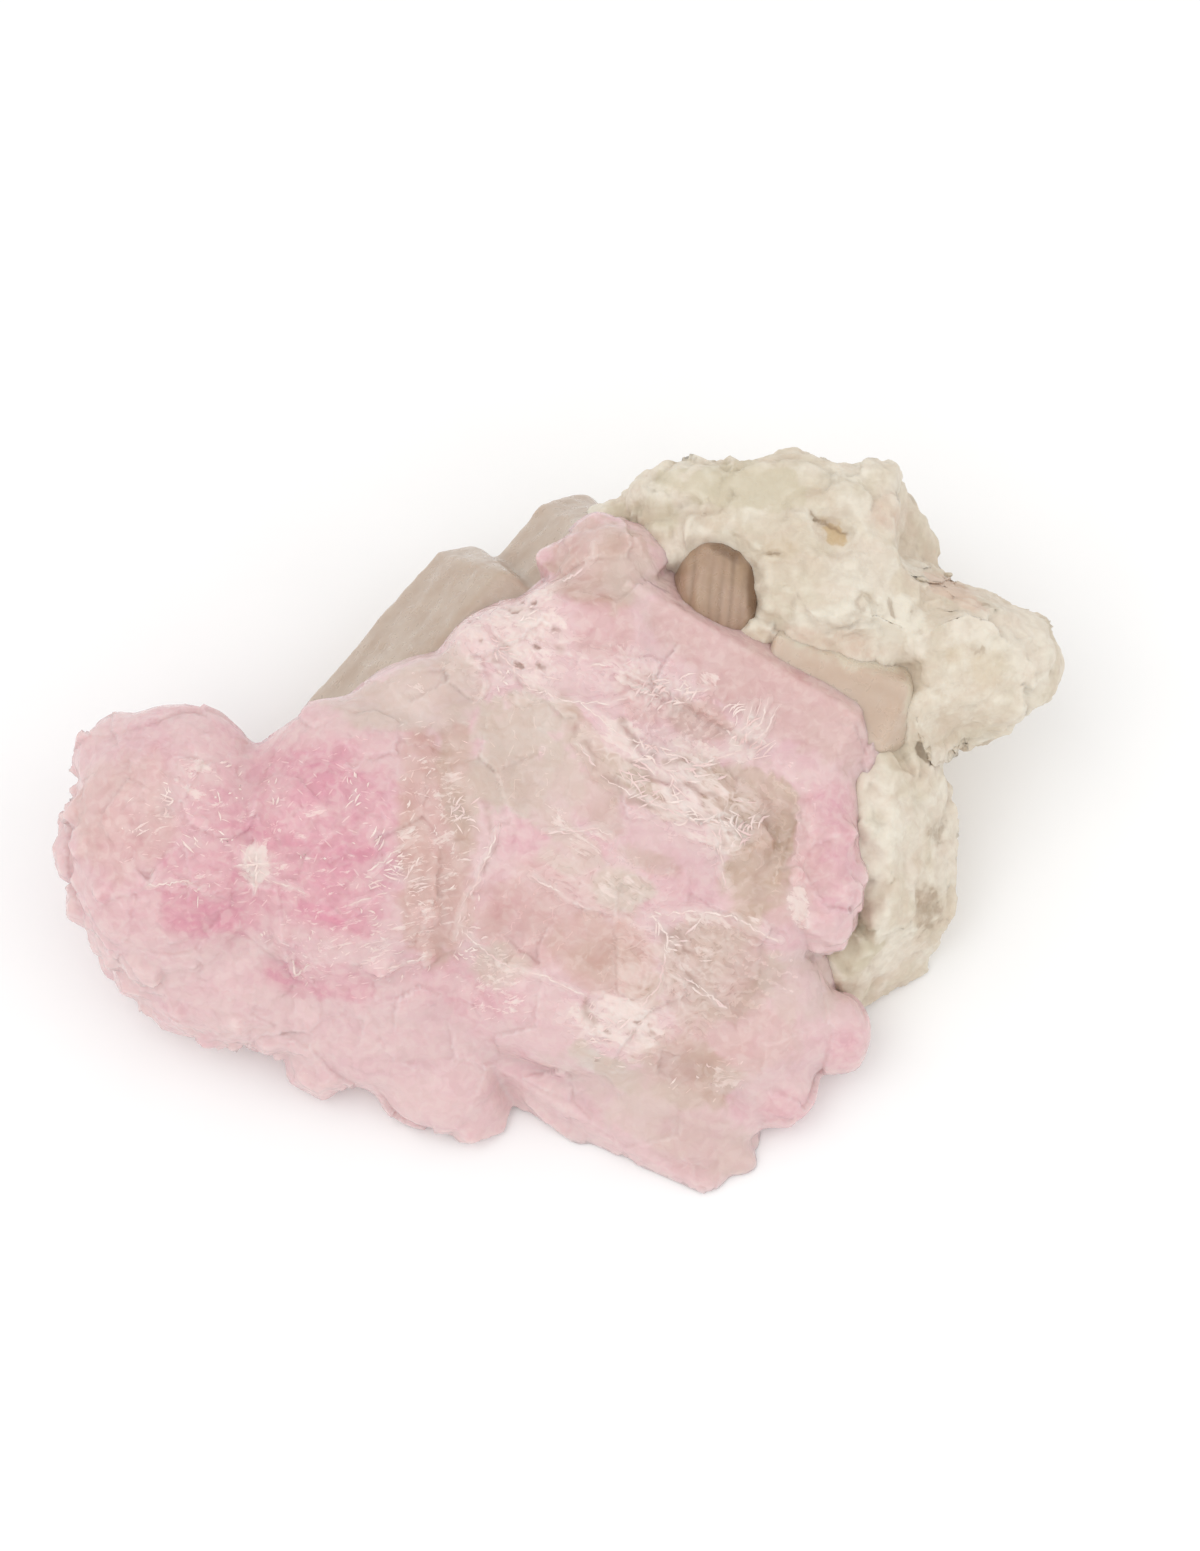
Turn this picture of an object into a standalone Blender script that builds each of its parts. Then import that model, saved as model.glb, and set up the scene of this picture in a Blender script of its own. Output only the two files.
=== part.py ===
"""A loose rose quartz specimen: pink crystal clusters grown on cream feldspar with smoky quartz.

Every piece is modelled on the specimen's display face, in millimetres: u runs across the face,
v up the face and w out of it. The face leans back from the upright, and the whole rests on a flat
base at z = 0. Run it with: blender --background --python part.py
"""

import math
import random
from dataclasses import dataclass, replace

import bmesh
import bpy
from mathutils import Matrix, Vector, noise

# Driving dimensions, in millimetres and degrees
MM = 0.001
FACE_LEAN = 25.0  # turn of the display face about X, away from lying level
FACE_LIFT = 16.0  # height of the face's middle above the base
FACE_SHIFT = (-0.44, -5.04)  # move that puts the specimen's middle over the origin
CLEARANCE = 0.32  # gap between pieces that meet
BASE_BLOCK = 200.0  # side of the block that trims the flat base
BODY_VOXEL = 0.8  # grain at which lumps are fused into one body
CUSHION = 2.7  # a lump's roundness seen from the side: 2 is a ball, more is flatter on top
SOFTENINGS = 6  # times that a fused body's skin is smoothed
GROWTH = (0.22, 0.38, 0.9)  # the way that the crystals of the middle lean together
CRYSTAL_SINK = 0.6  # how deep under a lump's skin the collars of its crystals lie
CRYSTAL_LEAN = 0.26  # most that a crystal leans from the skin's normal, along each axis
CRYSTAL_WIDTHS = (1.45, 1.9)  # least and most width of a crystal, in spacings
CRYSTAL_RISES = (-0.35, 0.4)  # least and most that a crystal stands above its usual height
CRYSTAL_FOOT = 0.5  # length of a crystal under its collar, in widths
LOWEST_CRYSTAL = 2.5  # height above the base under which no crystal stands
DEEPEST_LOOK = -0.5  # no crystal stands where the skin looks further back than this
CELL_AREA = 0.866  # skin that one packed crystal takes, in spacings squared
SAME_LUMP = 0.97  # a point this far out in another lump, as a share of its radii, is buried in it
PIT_FLOOR = 0.85  # share of a pit's radius within which no crystal stands
PIT_REACH = 3.0  # how far behind its centre a pit still presses the skin
ROSE_TRIANGLES = 1200  # facets of the pink quartz before its crystals
MATRIX_TRIANGLES = 2380  # facets of the feldspar


@dataclass(frozen=True)
class Lump:
    """A rounded swelling: a cushion turned about w, with packed crystals standing on its skin."""

    name: str
    centre: tuple
    radii: tuple
    turn: float = 0.0
    spacing: float = 0.0  # from one crystal to the next, or 0 for none
    parallel: float = 0.0  # how far they turn from the skin's normal to the growth direction
    point: float = 0.3  # height of their pointed ends, in crystal widths

    def spin(self):
        """The lump's turn about w as a 3x3 matrix."""
        return Matrix.Rotation(math.radians(self.turn), 3, "Z")

    def holds(self, point, margin=1.0):
        """True where a point lies inside the lump grown by margin."""
        local = self.spin().transposed() @ (point - Vector(self.centre))
        return sum((x / (r * margin)) ** 2 for x, r in zip(local, self.radii)) < 1.0


@dataclass(frozen=True)
class Prism:
    """A six-sided quartz crystal from a foot to a pointed tip, turned about its own axis."""

    foot: tuple
    tip: tuple
    radius: float
    point_share: float = 0.3  # share of the length taken by the pointed end
    twist: float = 0.0


@dataclass(frozen=True)
class Pit:
    """A hollow pressed into a piece's skin, along -w."""

    centre: tuple
    radius: float
    depth: float


@dataclass(frozen=True)
class Chip:
    """A flat broken face: the plane that nothing within reach stands beyond."""

    place: tuple
    normal: tuple
    reach: float


@dataclass(frozen=True)
class Folds:
    """The unevenness of a skin: folds of noise, knobs and creases between them."""

    strength: float
    cell: float
    seed: int
    crease: float = 0.0
    knob: float = 0.9  # height of the knobs, as a share of the folds
    knob_scale: float = 1.6  # knobs to a cell
    crease_width: float = 0.2  # in knobs


@dataclass(frozen=True)
class Finish:
    """The colour and the roughness of one mineral."""

    name: str
    colour: tuple
    roughness: float


ROSE_LUMPS = (
    Lump("left_dome", (-28.3, -2.2, -4.0), (7.5, 9.7, 6.6), 0, 3.2, 0.0),
    Lump("heart_dome", (-14.8, -2.0, -4.2), (9.6, 10.4, 7.4), 0, 3.3, 0.0),
    Lump("left_corner", (-31.6, 3.4, -4.8), (3.4, 3.8, 4.2), 0, 3.2, 0.0),
    Lump("left_skirt", (-24.9, -9.7, -6.4), (9.0, 6.4, 5.4), -26, 3.6, 0.1),
    Lump("lower_band", (-15.0, -14.0, -6.8), (12.0, 5.8, 5.0), -20, 4.8, 0.4, 0.2),
    Lump("lower_tip", (-7.6, -18.0, -6.8), (5.0, 4.5, 4.4), 0, 3.8, 0.4, 0.2),
    Lump("middle", (2.0, 0.5, -4.6), (14.0, 13.0, 6.6), 0, 6.2, 0.7, 0.15),
    Lump("upper_ridge", (1.6, 13.0, -4.6), (7.4, 7.2, 5.6), 10, 4.8, 0.7, 0.17),
    Lump("top_knob", (4.0, 18.0, -4.8), (4.0, 3.8, 4.2), 0, 4.0, 0.3, 0.3),
    Lump("right_side", (16.6, 0.5, -4.6), (6.0, 7.6, 5.0), 0, 5.4, 0.6, 0.15),
    Lump("right_disc", (19.2, -3.2, -3.6), (3.4, 6.3, 4.4), 0, 2.8, 0.0),
    Lump("diagonal_ridge", (9.6, 0.4, -0.4), (6.4, 1.7, 2.6), -34, 2.8, 0.4, 0.3),
    Lump("upper_rim", (9.4, 3.6, -1.0), (5.4, 1.3, 2.6), -38),
    Lump("lower_middle", (4.4, -10.6, -5.2), (12.4, 9.0, 6.2), 0, 6.0, 0.6, 0.15),
    Lump("bowl_rim", (7.6, -10.2, -1.8), (4.8, 1.5, 2.6), 36, 2.6, 0.2, 0.3),
    Lump("fan", (13.0, -13.6, -6.0), (8.6, 7.2, 5.2), -12, 4.2, 0.4, 0.22),
    Lump("fan_tip_high", (19.2, -15.6, -6.4), (3.0, 3.4, 3.4), 0, 3.6, 0.2, 0.28),
    Lump("fan_tip_low", (16.4, -20.1, -6.4), (3.2, 3.2, 3.2), 0, 3.6, 0.2, 0.28),
)
ROSE_PITS = (
    Pit((10.6, 7.4, 0.0), 4.4, 2.2),
    Pit((-2.2, 4.0, 0.0), 5.6, 1.2),
    Pit((12.2, -13.4, 0.0), 6.4, 2.2),
    Pit((16.8, -1.0, 0.0), 3.2, 1.6),
)
MATRIX_LUMPS = (
    Lump("block", (8.0, 4.0, -17.0), (20.0, 17.0, 9.0)),
    Lump("crown", (17.0, 18.2, -9.5), (11.2, 8.8, 8.6)),
    Lump("crown_knob", (17.6, 24.2, -8.5), (3.0, 3.2, 4.4)),
    Lump("crown_left", (9.6, 21.8, -9.8), (6.8, 5.7, 6.6)),
    Lump("crown_edge", (4.8, 21.8, -10.5), (4.2, 2.2, 4.2), 14),
    Lump("crown_back", (16.0, 16.0, -20.0), (13.0, 10.0, 10.0)),
    Lump("brow", (23.2, 20.8, -9.6), (5.0, 6.2, 6.0)),
    Lump("arm", (29.4, 11.5, -9.5), (7.2, 6.3, 7.0)),
    Lump("arm_tip", (33.3, 11.4, -9.5), (4.2, 4.3, 4.4), 20),
    Lump("arm_root", (22.4, 11.0, -12.0), (9.0, 9.4, 9.6)),
    Lump("flank", (23.2, -1.6, -11.0), (7.0, 10.8, 8.4)),
    Lump("flank_foot", (22.5, -7.8, -11.0), (7.0, 6.4, 6.6)),
    Lump("knob_high", (13.6, 21.2, -3.6), (4.4, 2.2, 3.0), 12),
    Lump("knob_brow", (22.6, 19.6, -4.2), (3.0, 3.8, 3.0), 20),
    Lump("knob_middle", (21.6, 14.6, -3.4), (4.6, 2.6, 3.0), -24),
    Lump("knob_arm", (29.2, 12.2, -4.0), (4.4, 3.4, 3.2), -30),
    Lump("knob_flank", (24.0, 1.0, -4.6), (3.0, 4.4, 3.0), 10),
    Lump("knob_foot", (24.4, -6.4, -5.4), (3.2, 3.2, 2.8)),
)
MATRIX_PITS = (
    Pit((19.8, 20.9, -2.0), 2.6, 2.6),
    Pit((22.9, 16.2, -2.0), 1.2, 1.0),
    Pit((25.6, 15.8, -2.5), 1.2, 1.0),
    Pit((29.6, 11.4, -3.0), 1.6, 1.4),
    Pit((25.4, 10.2, -3.0), 2.4, 1.8),
    Pit((26.4, -2.6, -3.0), 1.8, 1.4),
    Pit((12.4, 17.3, -1.8), 4.4, 3.4),
)
MATRIX_CHIPS = (
    Chip((16.0, 19.0, -1.6), (0.0, 0.3, 1.0), 7.0),
    Chip((24.6, 19.4, -3.0), (0.5, 0.25, 1.0), 6.0),
    Chip((30.4, 10.4, -3.4), (0.3, -0.3, 1.0), 6.0),
    Chip((27.4, -1.0, -5.4), (1.0, -0.1, 0.8), 9.0),
    Chip((25.6, -9.6, -7.0), (0.7, -0.8, 0.6), 6.0),
    Chip((30.6, 17.0, -8.0), (0.35, 1.0, 0.2), 7.0),
    Chip((33.0, 8.0, -12.6), (0.5, -0.4, -0.8), 7.0),
    Chip((25.8, 23.6, -13.0), (0.8, 0.8, -0.2), 8.0),
    Chip((12.0, 24.6, -14.0), (-0.3, 1.0, -0.2), 9.0),
    Chip((27.4, -4.0, -14.6), (1.0, -0.1, -0.5), 10.0),
    Chip((16.0, 24.4, -22.0), (0.1, 1.0, -0.2), 12.0),
    Chip((28.4, 14.0, -18.0), (1.0, 0.3, -0.5), 7.0),
)
LARGE_CRYSTALS = (
    Prism((3.6, 15.2, -4.6), (25.0, 2.8, -4.8), 5.4, 0.2, 0.0),
    Prism((-4.4, -16.4, -7.0), (14.4, -26.6, -7.2), 3.7, 0.1, 0.0),
    Prism((0.6, -14.2, -6.4), (15.4, -24.2, -6.8), 3.6, 0.2, 10.0),
)
LEFT_PRISMS = (
    Prism((0.2, 15.4, -14.0), (-16.6, -4.2, -14.0), 9.9, 0.3, 0.0),
    Prism((6.4, 21.2, -12.5), (-5.0, 6.8, -12.5), 7.8, 0.1, 0.0),
)
LEFT_BREAKS = (
    ((-7.0, 19.4, -10.0), (-0.05, 1.0, 0.25)),
    ((0.0, 23.0, -10.0), (0.0, 1.0, 0.3)),
)
TOP_PRISM = Prism((11.2, 10.6, -5.4), (12.4, 24.0, -5.8), 3.5, 0.2, 8.0)
TOP_BREAK = ((12.2, 20.4, -5.4), (0.1, 1.0, 0.16))
RIGHT_PRISM = Prism((15.0, 11.4, -5.6), (27.0, 6.8, -6.2), 5.0, 0.22, 0.0)
ROSE_FOLDS = Folds(0.45, 6.0, 3)
MATRIX_FOLDS = Folds(0.9, 7.0, 11, 0.8)
PINK_QUARTZ = Finish("pink_quartz", (0.78, 0.45, 0.5), 0.25)
CREAM_FELDSPAR = Finish("cream_feldspar", (0.78, 0.7, 0.56), 0.7)
SMOKY_QUARTZ = Finish("smoky_quartz", (0.5, 0.38, 0.28), 0.2)


def clear_scene():
    """Removes every object that the file opens with."""
    for obj in list(bpy.data.objects):
        bpy.data.objects.remove(obj)


def material_of(finish):
    """A Principled material of one colour, for one mineral."""
    material = bpy.data.materials.new(finish.name)
    material.use_nodes = True
    shader = material.node_tree.nodes["Principled BSDF"]
    shader.inputs["Base Color"].default_value = (*finish.colour, 1.0)
    shader.inputs["Roughness"].default_value = finish.roughness
    shader.inputs["Metallic"].default_value = 0.0
    return material


def face_matrix():
    """Carries a point of the display face, in metres, to where the specimen rests."""
    shift = Vector((*FACE_SHIFT, FACE_LIFT)) * MM
    return Matrix.Translation(shift) @ Matrix.Rotation(math.radians(FACE_LEAN), 4, "X")


def object_of(name, mesh_maker):
    """A linked object whose mesh a bmesh maker fills, in millimetres on the display face."""
    bm = bmesh.new()
    mesh_maker(bm)
    bmesh.ops.scale(bm, vec=(MM, MM, MM), verts=bm.verts)
    mesh = bpy.data.meshes.new(name)
    bm.to_mesh(mesh)
    bm.free()
    obj = bpy.data.objects.new(name, mesh)
    bpy.context.scene.collection.objects.link(obj)
    return obj


def settle(obj):
    """Applies the modifiers by keeping the evaluated mesh."""
    graph = bpy.context.evaluated_depsgraph_get()
    mesh = bpy.data.meshes.new_from_object(obj.evaluated_get(graph))
    obj.modifiers.clear()
    obj.data = mesh
    return obj


def combine(obj, other, operation, keep=False):
    """Joins or cuts obj with another solid, which goes afterwards unless it is kept."""
    modifier = obj.modifiers.new(operation.title(), "BOOLEAN")
    modifier.operation = operation
    modifier.object = other
    modifier.solver = "EXACT"
    modifier.use_self = True
    settle(obj)
    if not keep:
        bpy.data.objects.remove(other)
    return obj


def add_ellipsoid(bm, lump):
    """Adds one lump as a closed ball of facets."""
    ball = bmesh.ops.create_icosphere(bm, subdivisions=4, radius=1.0)["verts"]
    for vertex in ball:
        way = vertex.co
        flat = way.to_2d().length
        way = way / (flat**CUSHION + abs(way.z) ** CUSHION) ** (1.0 / CUSHION)
        stretched = Vector(w * r for w, r in zip(way, lump.radii))
        vertex.co = Vector(lump.centre) + lump.spin() @ stretched


def add_prism(bm, prism):
    """Adds one six-sided crystal, its foot flat and its tip a pyramid."""
    foot, tip = Vector(prism.foot), Vector(prism.tip)
    axis = tip - foot
    turn = axis.to_track_quat("Z", "Y").to_matrix().to_4x4()
    turn = Matrix.Translation(foot) @ turn @ Matrix.Rotation(math.radians(prism.twist), 4, "Z")
    collar = axis.length * (1.0 - prism.point_share)
    rings = []
    for height in (0.0, collar):
        ring = []
        for side in range(6):
            angle = math.radians(60.0 * side)
            spot = Vector((math.cos(angle), math.sin(angle), 0.0)) * prism.radius
            ring.append(bm.verts.new(turn @ (spot + Vector((0.0, 0.0, height)))))
        rings.append(ring)
    apex = bm.verts.new(turn @ Vector((0.0, 0.0, axis.length)))
    bm.faces.new(reversed(rings[0]))
    for side in range(6):
        nearest, following = side, (side + 1) % 6
        low, high = rings
        bm.faces.new((low[nearest], low[following], high[following], high[nearest]))
        bm.faces.new((high[nearest], high[following], apex))


def fused(name, lumps, voxel):
    """One closed body grown from overlapping lumps."""
    body = object_of(name, lambda bm: [add_ellipsoid(bm, lump) for lump in lumps])
    remesh = body.modifiers.new("Fuse", "REMESH")
    remesh.mode = "VOXEL"
    remesh.voxel_size = voxel * MM
    soften = body.modifiers.new("Soften", "SMOOTH")
    soften.iterations = SOFTENINGS
    soften.factor = 0.5
    return settle(body)


def roughen(obj, folds):
    """Moves each point along its normal by folds of noise, with creases between knobs."""
    offset = Vector((folds.seed, 2.0 * folds.seed, 3.0 * folds.seed))
    width = folds.crease_width
    normals = [v.normal.copy() for v in obj.data.vertices]
    for vertex, normal in zip(obj.data.vertices, normals):
        place = vertex.co / MM / folds.cell + offset
        swell = noise.fractal(place, 0.9, 2.1, 4)
        nearest, following = noise.voronoi(place * folds.knob_scale)[0][:2]
        knob = 0.5 - nearest
        groove = min(following - nearest, width) / width - 0.5
        height = folds.strength * (swell + folds.knob * knob) + folds.crease * groove
        vertex.co += normal * height * MM


def chip(obj, chips):
    """Breaks flat faces: skin beyond a chip's plane is set back on it."""
    for vertex in obj.data.vertices:
        for broken in chips:
            offset = vertex.co / MM - Vector(broken.place)
            across = Vector(broken.normal).normalized()
            proud = offset.dot(across)
            if 0.0 < proud and (offset - across * proud).length < broken.reach:
                vertex.co -= across * proud * MM


def press(obj, pits):
    """Presses hollows into the skin that faces out of the display face."""
    for vertex in obj.data.vertices:
        place = vertex.co / MM
        for pit in pits:
            across = (place - Vector(pit.centre)).to_2d().length / pit.radius
            if across < 1.0 and place.z > pit.centre[2] - PIT_REACH:
                vertex.co.z -= pit.depth * (1.0 - across**2) ** 2 * MM


def in_pit(point, pits):
    """True where a point lies in one of the hollows, away from its rim."""
    return any(
        (point - Vector(pit.centre)).to_2d().length < PIT_FLOOR * pit.radius for pit in pits
    )


def thin_out(obj, triangles):
    """Thins a body to about this many triangles, which leaves flat facets."""
    modifier = obj.modifiers.new("Facets", "DECIMATE")
    modifier.ratio = min(1.0, triangles / (2.0 * len(obj.data.polygons)))
    return settle(obj)


def skin_area(lump):
    """Rough area of a lump's skin, as a ball of its mean radius."""
    mean = sum(lump.radii) / 3.0
    return 4.0 * math.pi * mean * mean


def skin_point(lump, way):
    """The point of a lump's skin that lies a unit way from its centre, and its normal."""
    flat = (way.to_2d().length ** CUSHION + abs(way.z) ** CUSHION) ** (1.0 / CUSHION)
    stretched = Vector(w / flat * r for w, r in zip(way, lump.radii))
    outward = Vector(w / r for w, r in zip(way, lump.radii))
    return Vector(lump.centre) + lump.spin() @ stretched, (lump.spin() @ outward).normalized()


def even_ways(count):
    """Unit directions spread evenly all round, by the golden angle."""
    golden = math.pi * (3.0 - math.sqrt(5.0))
    for index in range(count):
        height = 1.0 - 2.0 * (index + 0.5) / count
        ring = math.sqrt(1.0 - height * height)
        yield Vector((ring * math.cos(golden * index), ring * math.sin(golden * index), height))


def crystal_sites(lumps, others, pits):
    """The crystals packed on the lumps' open skin, as prisms, the same ones each time."""
    growth = Vector(GROWTH).normalized()
    sites = []
    for lump in filter(lambda found: found.spacing, lumps):
        chance = random.Random(lump.name)
        count = round(skin_area(lump) / (CELL_AREA * lump.spacing**2))
        for way in even_ways(count):
            point, outward = skin_point(lump, way)
            lean = Vector(chance.uniform(-CRYSTAL_LEAN, CRYSTAL_LEAN) for _ in range(3))
            width = lump.spacing * chance.uniform(*CRYSTAL_WIDTHS)
            rise = chance.uniform(*CRYSTAL_RISES)
            twist = chance.uniform(0.0, 60.0)
            buried = any(o is not lump and o.holds(point, SAME_LUMP) for o in (*lumps, *others))
            low = (face_matrix() @ (point * MM)).z < LOWEST_CRYSTAL * MM
            if buried or low or outward.z < DEEPEST_LOOK or in_pit(point, pits):
                continue
            axis = (outward + lean).normalized().lerp(growth, lump.parallel).normalized()
            collar = point - axis * CRYSTAL_SINK
            foot = collar - axis * width * CRYSTAL_FOOT
            tip = collar + axis * (width * lump.point + rise)
            share = width * lump.point / (tip - foot).length
            sites.append(Prism(tuple(foot), tuple(tip), width * 0.5, share, twist))
    return sites


def swollen(obj):
    """A copy of a smooth body grown by the clearance, to cut its seat in a neighbour."""
    seat = obj.copy()
    seat.data = obj.data.copy()
    bpy.context.scene.collection.objects.link(seat)
    swell = seat.modifiers.new("Clearance", "DISPLACE")
    swell.strength = CLEARANCE * MM
    swell.mid_level = 0.0
    return settle(seat)


def swollen_prism(prism):
    """The prism grown by the clearance on every side."""
    axis = (Vector(prism.tip) - Vector(prism.foot)).normalized()
    foot = Vector(prism.foot) - axis * CLEARANCE
    tip = Vector(prism.tip) + axis * CLEARANCE * 1.6
    return replace(prism, foot=tuple(foot), tip=tuple(tip), radius=prism.radius + CLEARANCE * 1.2)


def prisms_object(name, prisms):
    """One object that holds many crystals."""
    return object_of(name, lambda bm: [add_prism(bm, prism) for prism in prisms])


def seats(prisms):
    """Crystals grown by the clearance, to cut their seats in a neighbour."""
    return prisms_object("seats", [swollen_prism(prism) for prism in prisms])


def base_block():
    """The block under the specimen, on the display face's own axes, that trims the flat base."""
    half = BASE_BLOCK / 2.0
    to_face = face_matrix()
    to_face.translation /= MM
    place = to_face.inverted() @ Matrix.Translation((0.0, 0.0, -half))
    return object_of(
        "base_block", lambda bm: bmesh.ops.create_cube(bm, size=BASE_BLOCK, matrix=place)
    )


def make_rose_body():
    """The pink quartz under its crystals: domes, bands and fans fused in one."""
    body = fused("rose_quartz", ROSE_LUMPS, BODY_VOXEL)
    roughen(body, ROSE_FOLDS)
    press(body, ROSE_PITS)
    return thin_out(body, ROSE_TRIANGLES)


def make_matrix():
    """The cream feldspar that carries the crystals, knobbly and pitted."""
    body = fused("matrix", MATRIX_LUMPS, BODY_VOXEL)
    roughen(body, MATRIX_FOLDS)
    chip(body, MATRIX_CHIPS)
    press(body, MATRIX_PITS)
    return thin_out(body, MATRIX_TRIANGLES)


def add_broken_prism(bm, prism, cut):
    """Adds a crystal that is broken off flat, at a point, across a normal."""
    add_prism(bm, prism)
    if cut is None:
        return
    geometry = [*bm.verts, *bm.edges, *bm.faces]
    place, across = cut
    found = bmesh.ops.bisect_plane(
        bm, geom=geometry, plane_co=place, plane_no=across, clear_outer=True
    )
    rim = [e for e in found["geom_cut"] if isinstance(e, bmesh.types.BMEdge)]
    bmesh.ops.contextual_create(bm, geom=rim)


def make_smoky(name, prisms, cuts=(None,)):
    """Smoky quartz: six-sided crystals joined where they cross."""
    made = [
        object_of(name, lambda bm, p=prism, c=cut: add_broken_prism(bm, p, c))
        for prism, cut in zip(prisms, cuts)
    ]
    for more in made[1:]:
        combine(made[0], more, "UNION")
    return made[0]


def dress(obj, material):
    """Gives a piece its one mineral finish and flat facets."""
    obj.data.materials.clear()
    obj.data.materials.append(material)
    obj.data.shade_flat()


def main():
    """Builds the pieces, cuts each one's seat in the next, trims the base and sets them down."""
    clear_scene()
    rose = make_rose_body()
    crystals = [*crystal_sites(ROSE_LUMPS, MATRIX_LUMPS, ROSE_PITS), *LARGE_CRYSTALS]
    left = make_smoky("smoky_quartz_left", LEFT_PRISMS, LEFT_BREAKS)
    top = make_smoky("smoky_quartz_top", (TOP_PRISM,), (TOP_BREAK,))
    right = make_smoky("smoky_quartz_right", (RIGHT_PRISM,))
    matrix = make_matrix()
    rose_seat = combine(swollen(rose), seats(crystals), "UNION")
    cuts = (
        (rose_seat, (left, top, right, matrix)),
        (seats((TOP_PRISM,)), (left, right, matrix)),
        (seats(LEFT_PRISMS), (matrix,)),
        (seats((RIGHT_PRISM,)), (matrix,)),
    )
    for seat, pieces in cuts:
        for piece in pieces:
            combine(piece, seat, "DIFFERENCE", keep=True)
        bpy.data.objects.remove(seat)
    combine(rose, prisms_object("crystals", crystals), "UNION")
    for piece in (rose, matrix, left, top, right):
        combine(piece, base_block(), "DIFFERENCE")
    dress(rose, material_of(PINK_QUARTZ))
    dress(matrix, material_of(CREAM_FELDSPAR))
    smoke = material_of(SMOKY_QUARTZ)
    for smoky in (left, top, right):
        dress(smoky, smoke)
    face = bpy.data.objects.new("display_face", None)
    bpy.context.scene.collection.objects.link(face)
    face.matrix_world = face_matrix()
    for piece in (rose, matrix, left, top, right):
        piece.parent = face


main()
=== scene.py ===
"""A rose quartz specimen dressed for its portrait: packed pink crystals, feldspar and smoky quartz.

Shapes are worked on the specimen's display face in millimetres, u across it, v up it and w out of
it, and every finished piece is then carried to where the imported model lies.
"""

import itertools
import logging
import math
import random
from collections.abc import Callable
from dataclasses import dataclass, field
from enum import Enum

import bmesh
import bpy
import numpy as np
from mathutils import Matrix, Vector
from mathutils.bvhtree import BVHTree


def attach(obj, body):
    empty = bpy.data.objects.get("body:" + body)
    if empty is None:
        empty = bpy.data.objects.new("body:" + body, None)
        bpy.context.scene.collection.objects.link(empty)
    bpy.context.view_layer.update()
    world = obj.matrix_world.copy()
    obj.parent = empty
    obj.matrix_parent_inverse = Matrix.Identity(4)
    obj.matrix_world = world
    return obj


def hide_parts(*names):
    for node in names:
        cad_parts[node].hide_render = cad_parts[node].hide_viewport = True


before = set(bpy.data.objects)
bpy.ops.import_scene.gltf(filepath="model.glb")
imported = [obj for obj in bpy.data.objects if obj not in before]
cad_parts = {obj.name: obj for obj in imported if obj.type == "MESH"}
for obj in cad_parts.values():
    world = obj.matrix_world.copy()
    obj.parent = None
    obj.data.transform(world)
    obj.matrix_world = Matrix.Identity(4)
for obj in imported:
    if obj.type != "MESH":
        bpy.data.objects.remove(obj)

LOG = logging.getLogger("rose_quartz")
MM = 0.001
BODY = "root"
QUARTZ_IOR = 1.54
FLOAT = "NodeSocketFloat"
VECTOR = "NodeSocketVector"

Face = tuple[float, float]
Spot = tuple[float, float, float]
Colour = tuple[float, float, float, float]
Piece = bpy.types.Object
Tree = bpy.types.NodeTree
Socket = bpy.types.NodeSocket
Values = np.ndarray


# ---------------------------------------------------------------- the display face


@dataclass(frozen=True)
class DisplayFace:
    """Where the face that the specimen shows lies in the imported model's frame."""

    lean: float = 25.0
    lift: float = 16.0
    shift: Face = (-0.44, -5.04)

    def matrix(self) -> Matrix:
        """Carries a point of the display face, in metres, to where the specimen rests."""
        move = Matrix.Translation(Vector((*self.shift, self.lift)) * MM)
        return move @ Matrix.Rotation(math.radians(self.lean), 4, "X")

    def point(self, u: float, v: float, w: float) -> Vector:
        """The place of a point that is given in millimetres on the display face."""
        return self.matrix() @ (Vector((u, v, w)) * MM)


FACE = DisplayFace()


# ---------------------------------------------------------------- bench work


def deselect_all() -> None:
    """Leaves nothing selected, in object mode."""
    if bpy.context.object and bpy.context.object.mode != "OBJECT":
        bpy.ops.object.mode_set(mode="OBJECT")
    bpy.ops.object.select_all(action="DESELECT")


def make_active(obj: Piece) -> None:
    """Selects one object alone and makes it the active one."""
    deselect_all()
    obj.select_set(True)
    bpy.context.view_layer.objects.active = obj


def select_faces(obj: Piece, wanted: Callable[[bpy.types.MeshPolygon], bool]) -> None:
    """Selects a mesh's faces by a test and enters edit mode in face mode."""
    make_active(obj)
    mesh = obj.data
    mesh.vertices.foreach_set("select", [False] * len(mesh.vertices))
    mesh.edges.foreach_set("select", [False] * len(mesh.edges))
    mesh.polygons.foreach_set("select", [bool(wanted(p)) for p in mesh.polygons])
    bpy.ops.object.mode_set(mode="EDIT")
    bpy.ops.mesh.select_mode(type="FACE")


def apply_modifier(obj: Piece, kind: str, **settings: object) -> None:
    """Adds a modifier and applies it at once."""
    make_active(obj)
    modifier = obj.modifiers.new(kind.title(), kind)
    for name, value in settings.items():
        setattr(modifier, name, value)
    bpy.ops.object.modifier_apply(modifier=modifier.name)


def copy_of(template: Piece, place: Matrix) -> Piece:
    """A copy of a template with a mesh of its own, carried to its place."""
    twin = template.copy()
    twin.data = template.data.copy()
    twin.data.transform(place)
    bpy.context.scene.collection.objects.link(twin)
    return twin


def joined(parts: list[Piece], name: str) -> Piece:
    """Joins objects into the first of them."""
    deselect_all()
    for part in parts:
        part.select_set(True)
    bpy.context.view_layer.objects.active = parts[0]
    bpy.ops.object.join()
    parts[0].name = name
    parts[0].data.name = name
    return parts[0]


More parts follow.
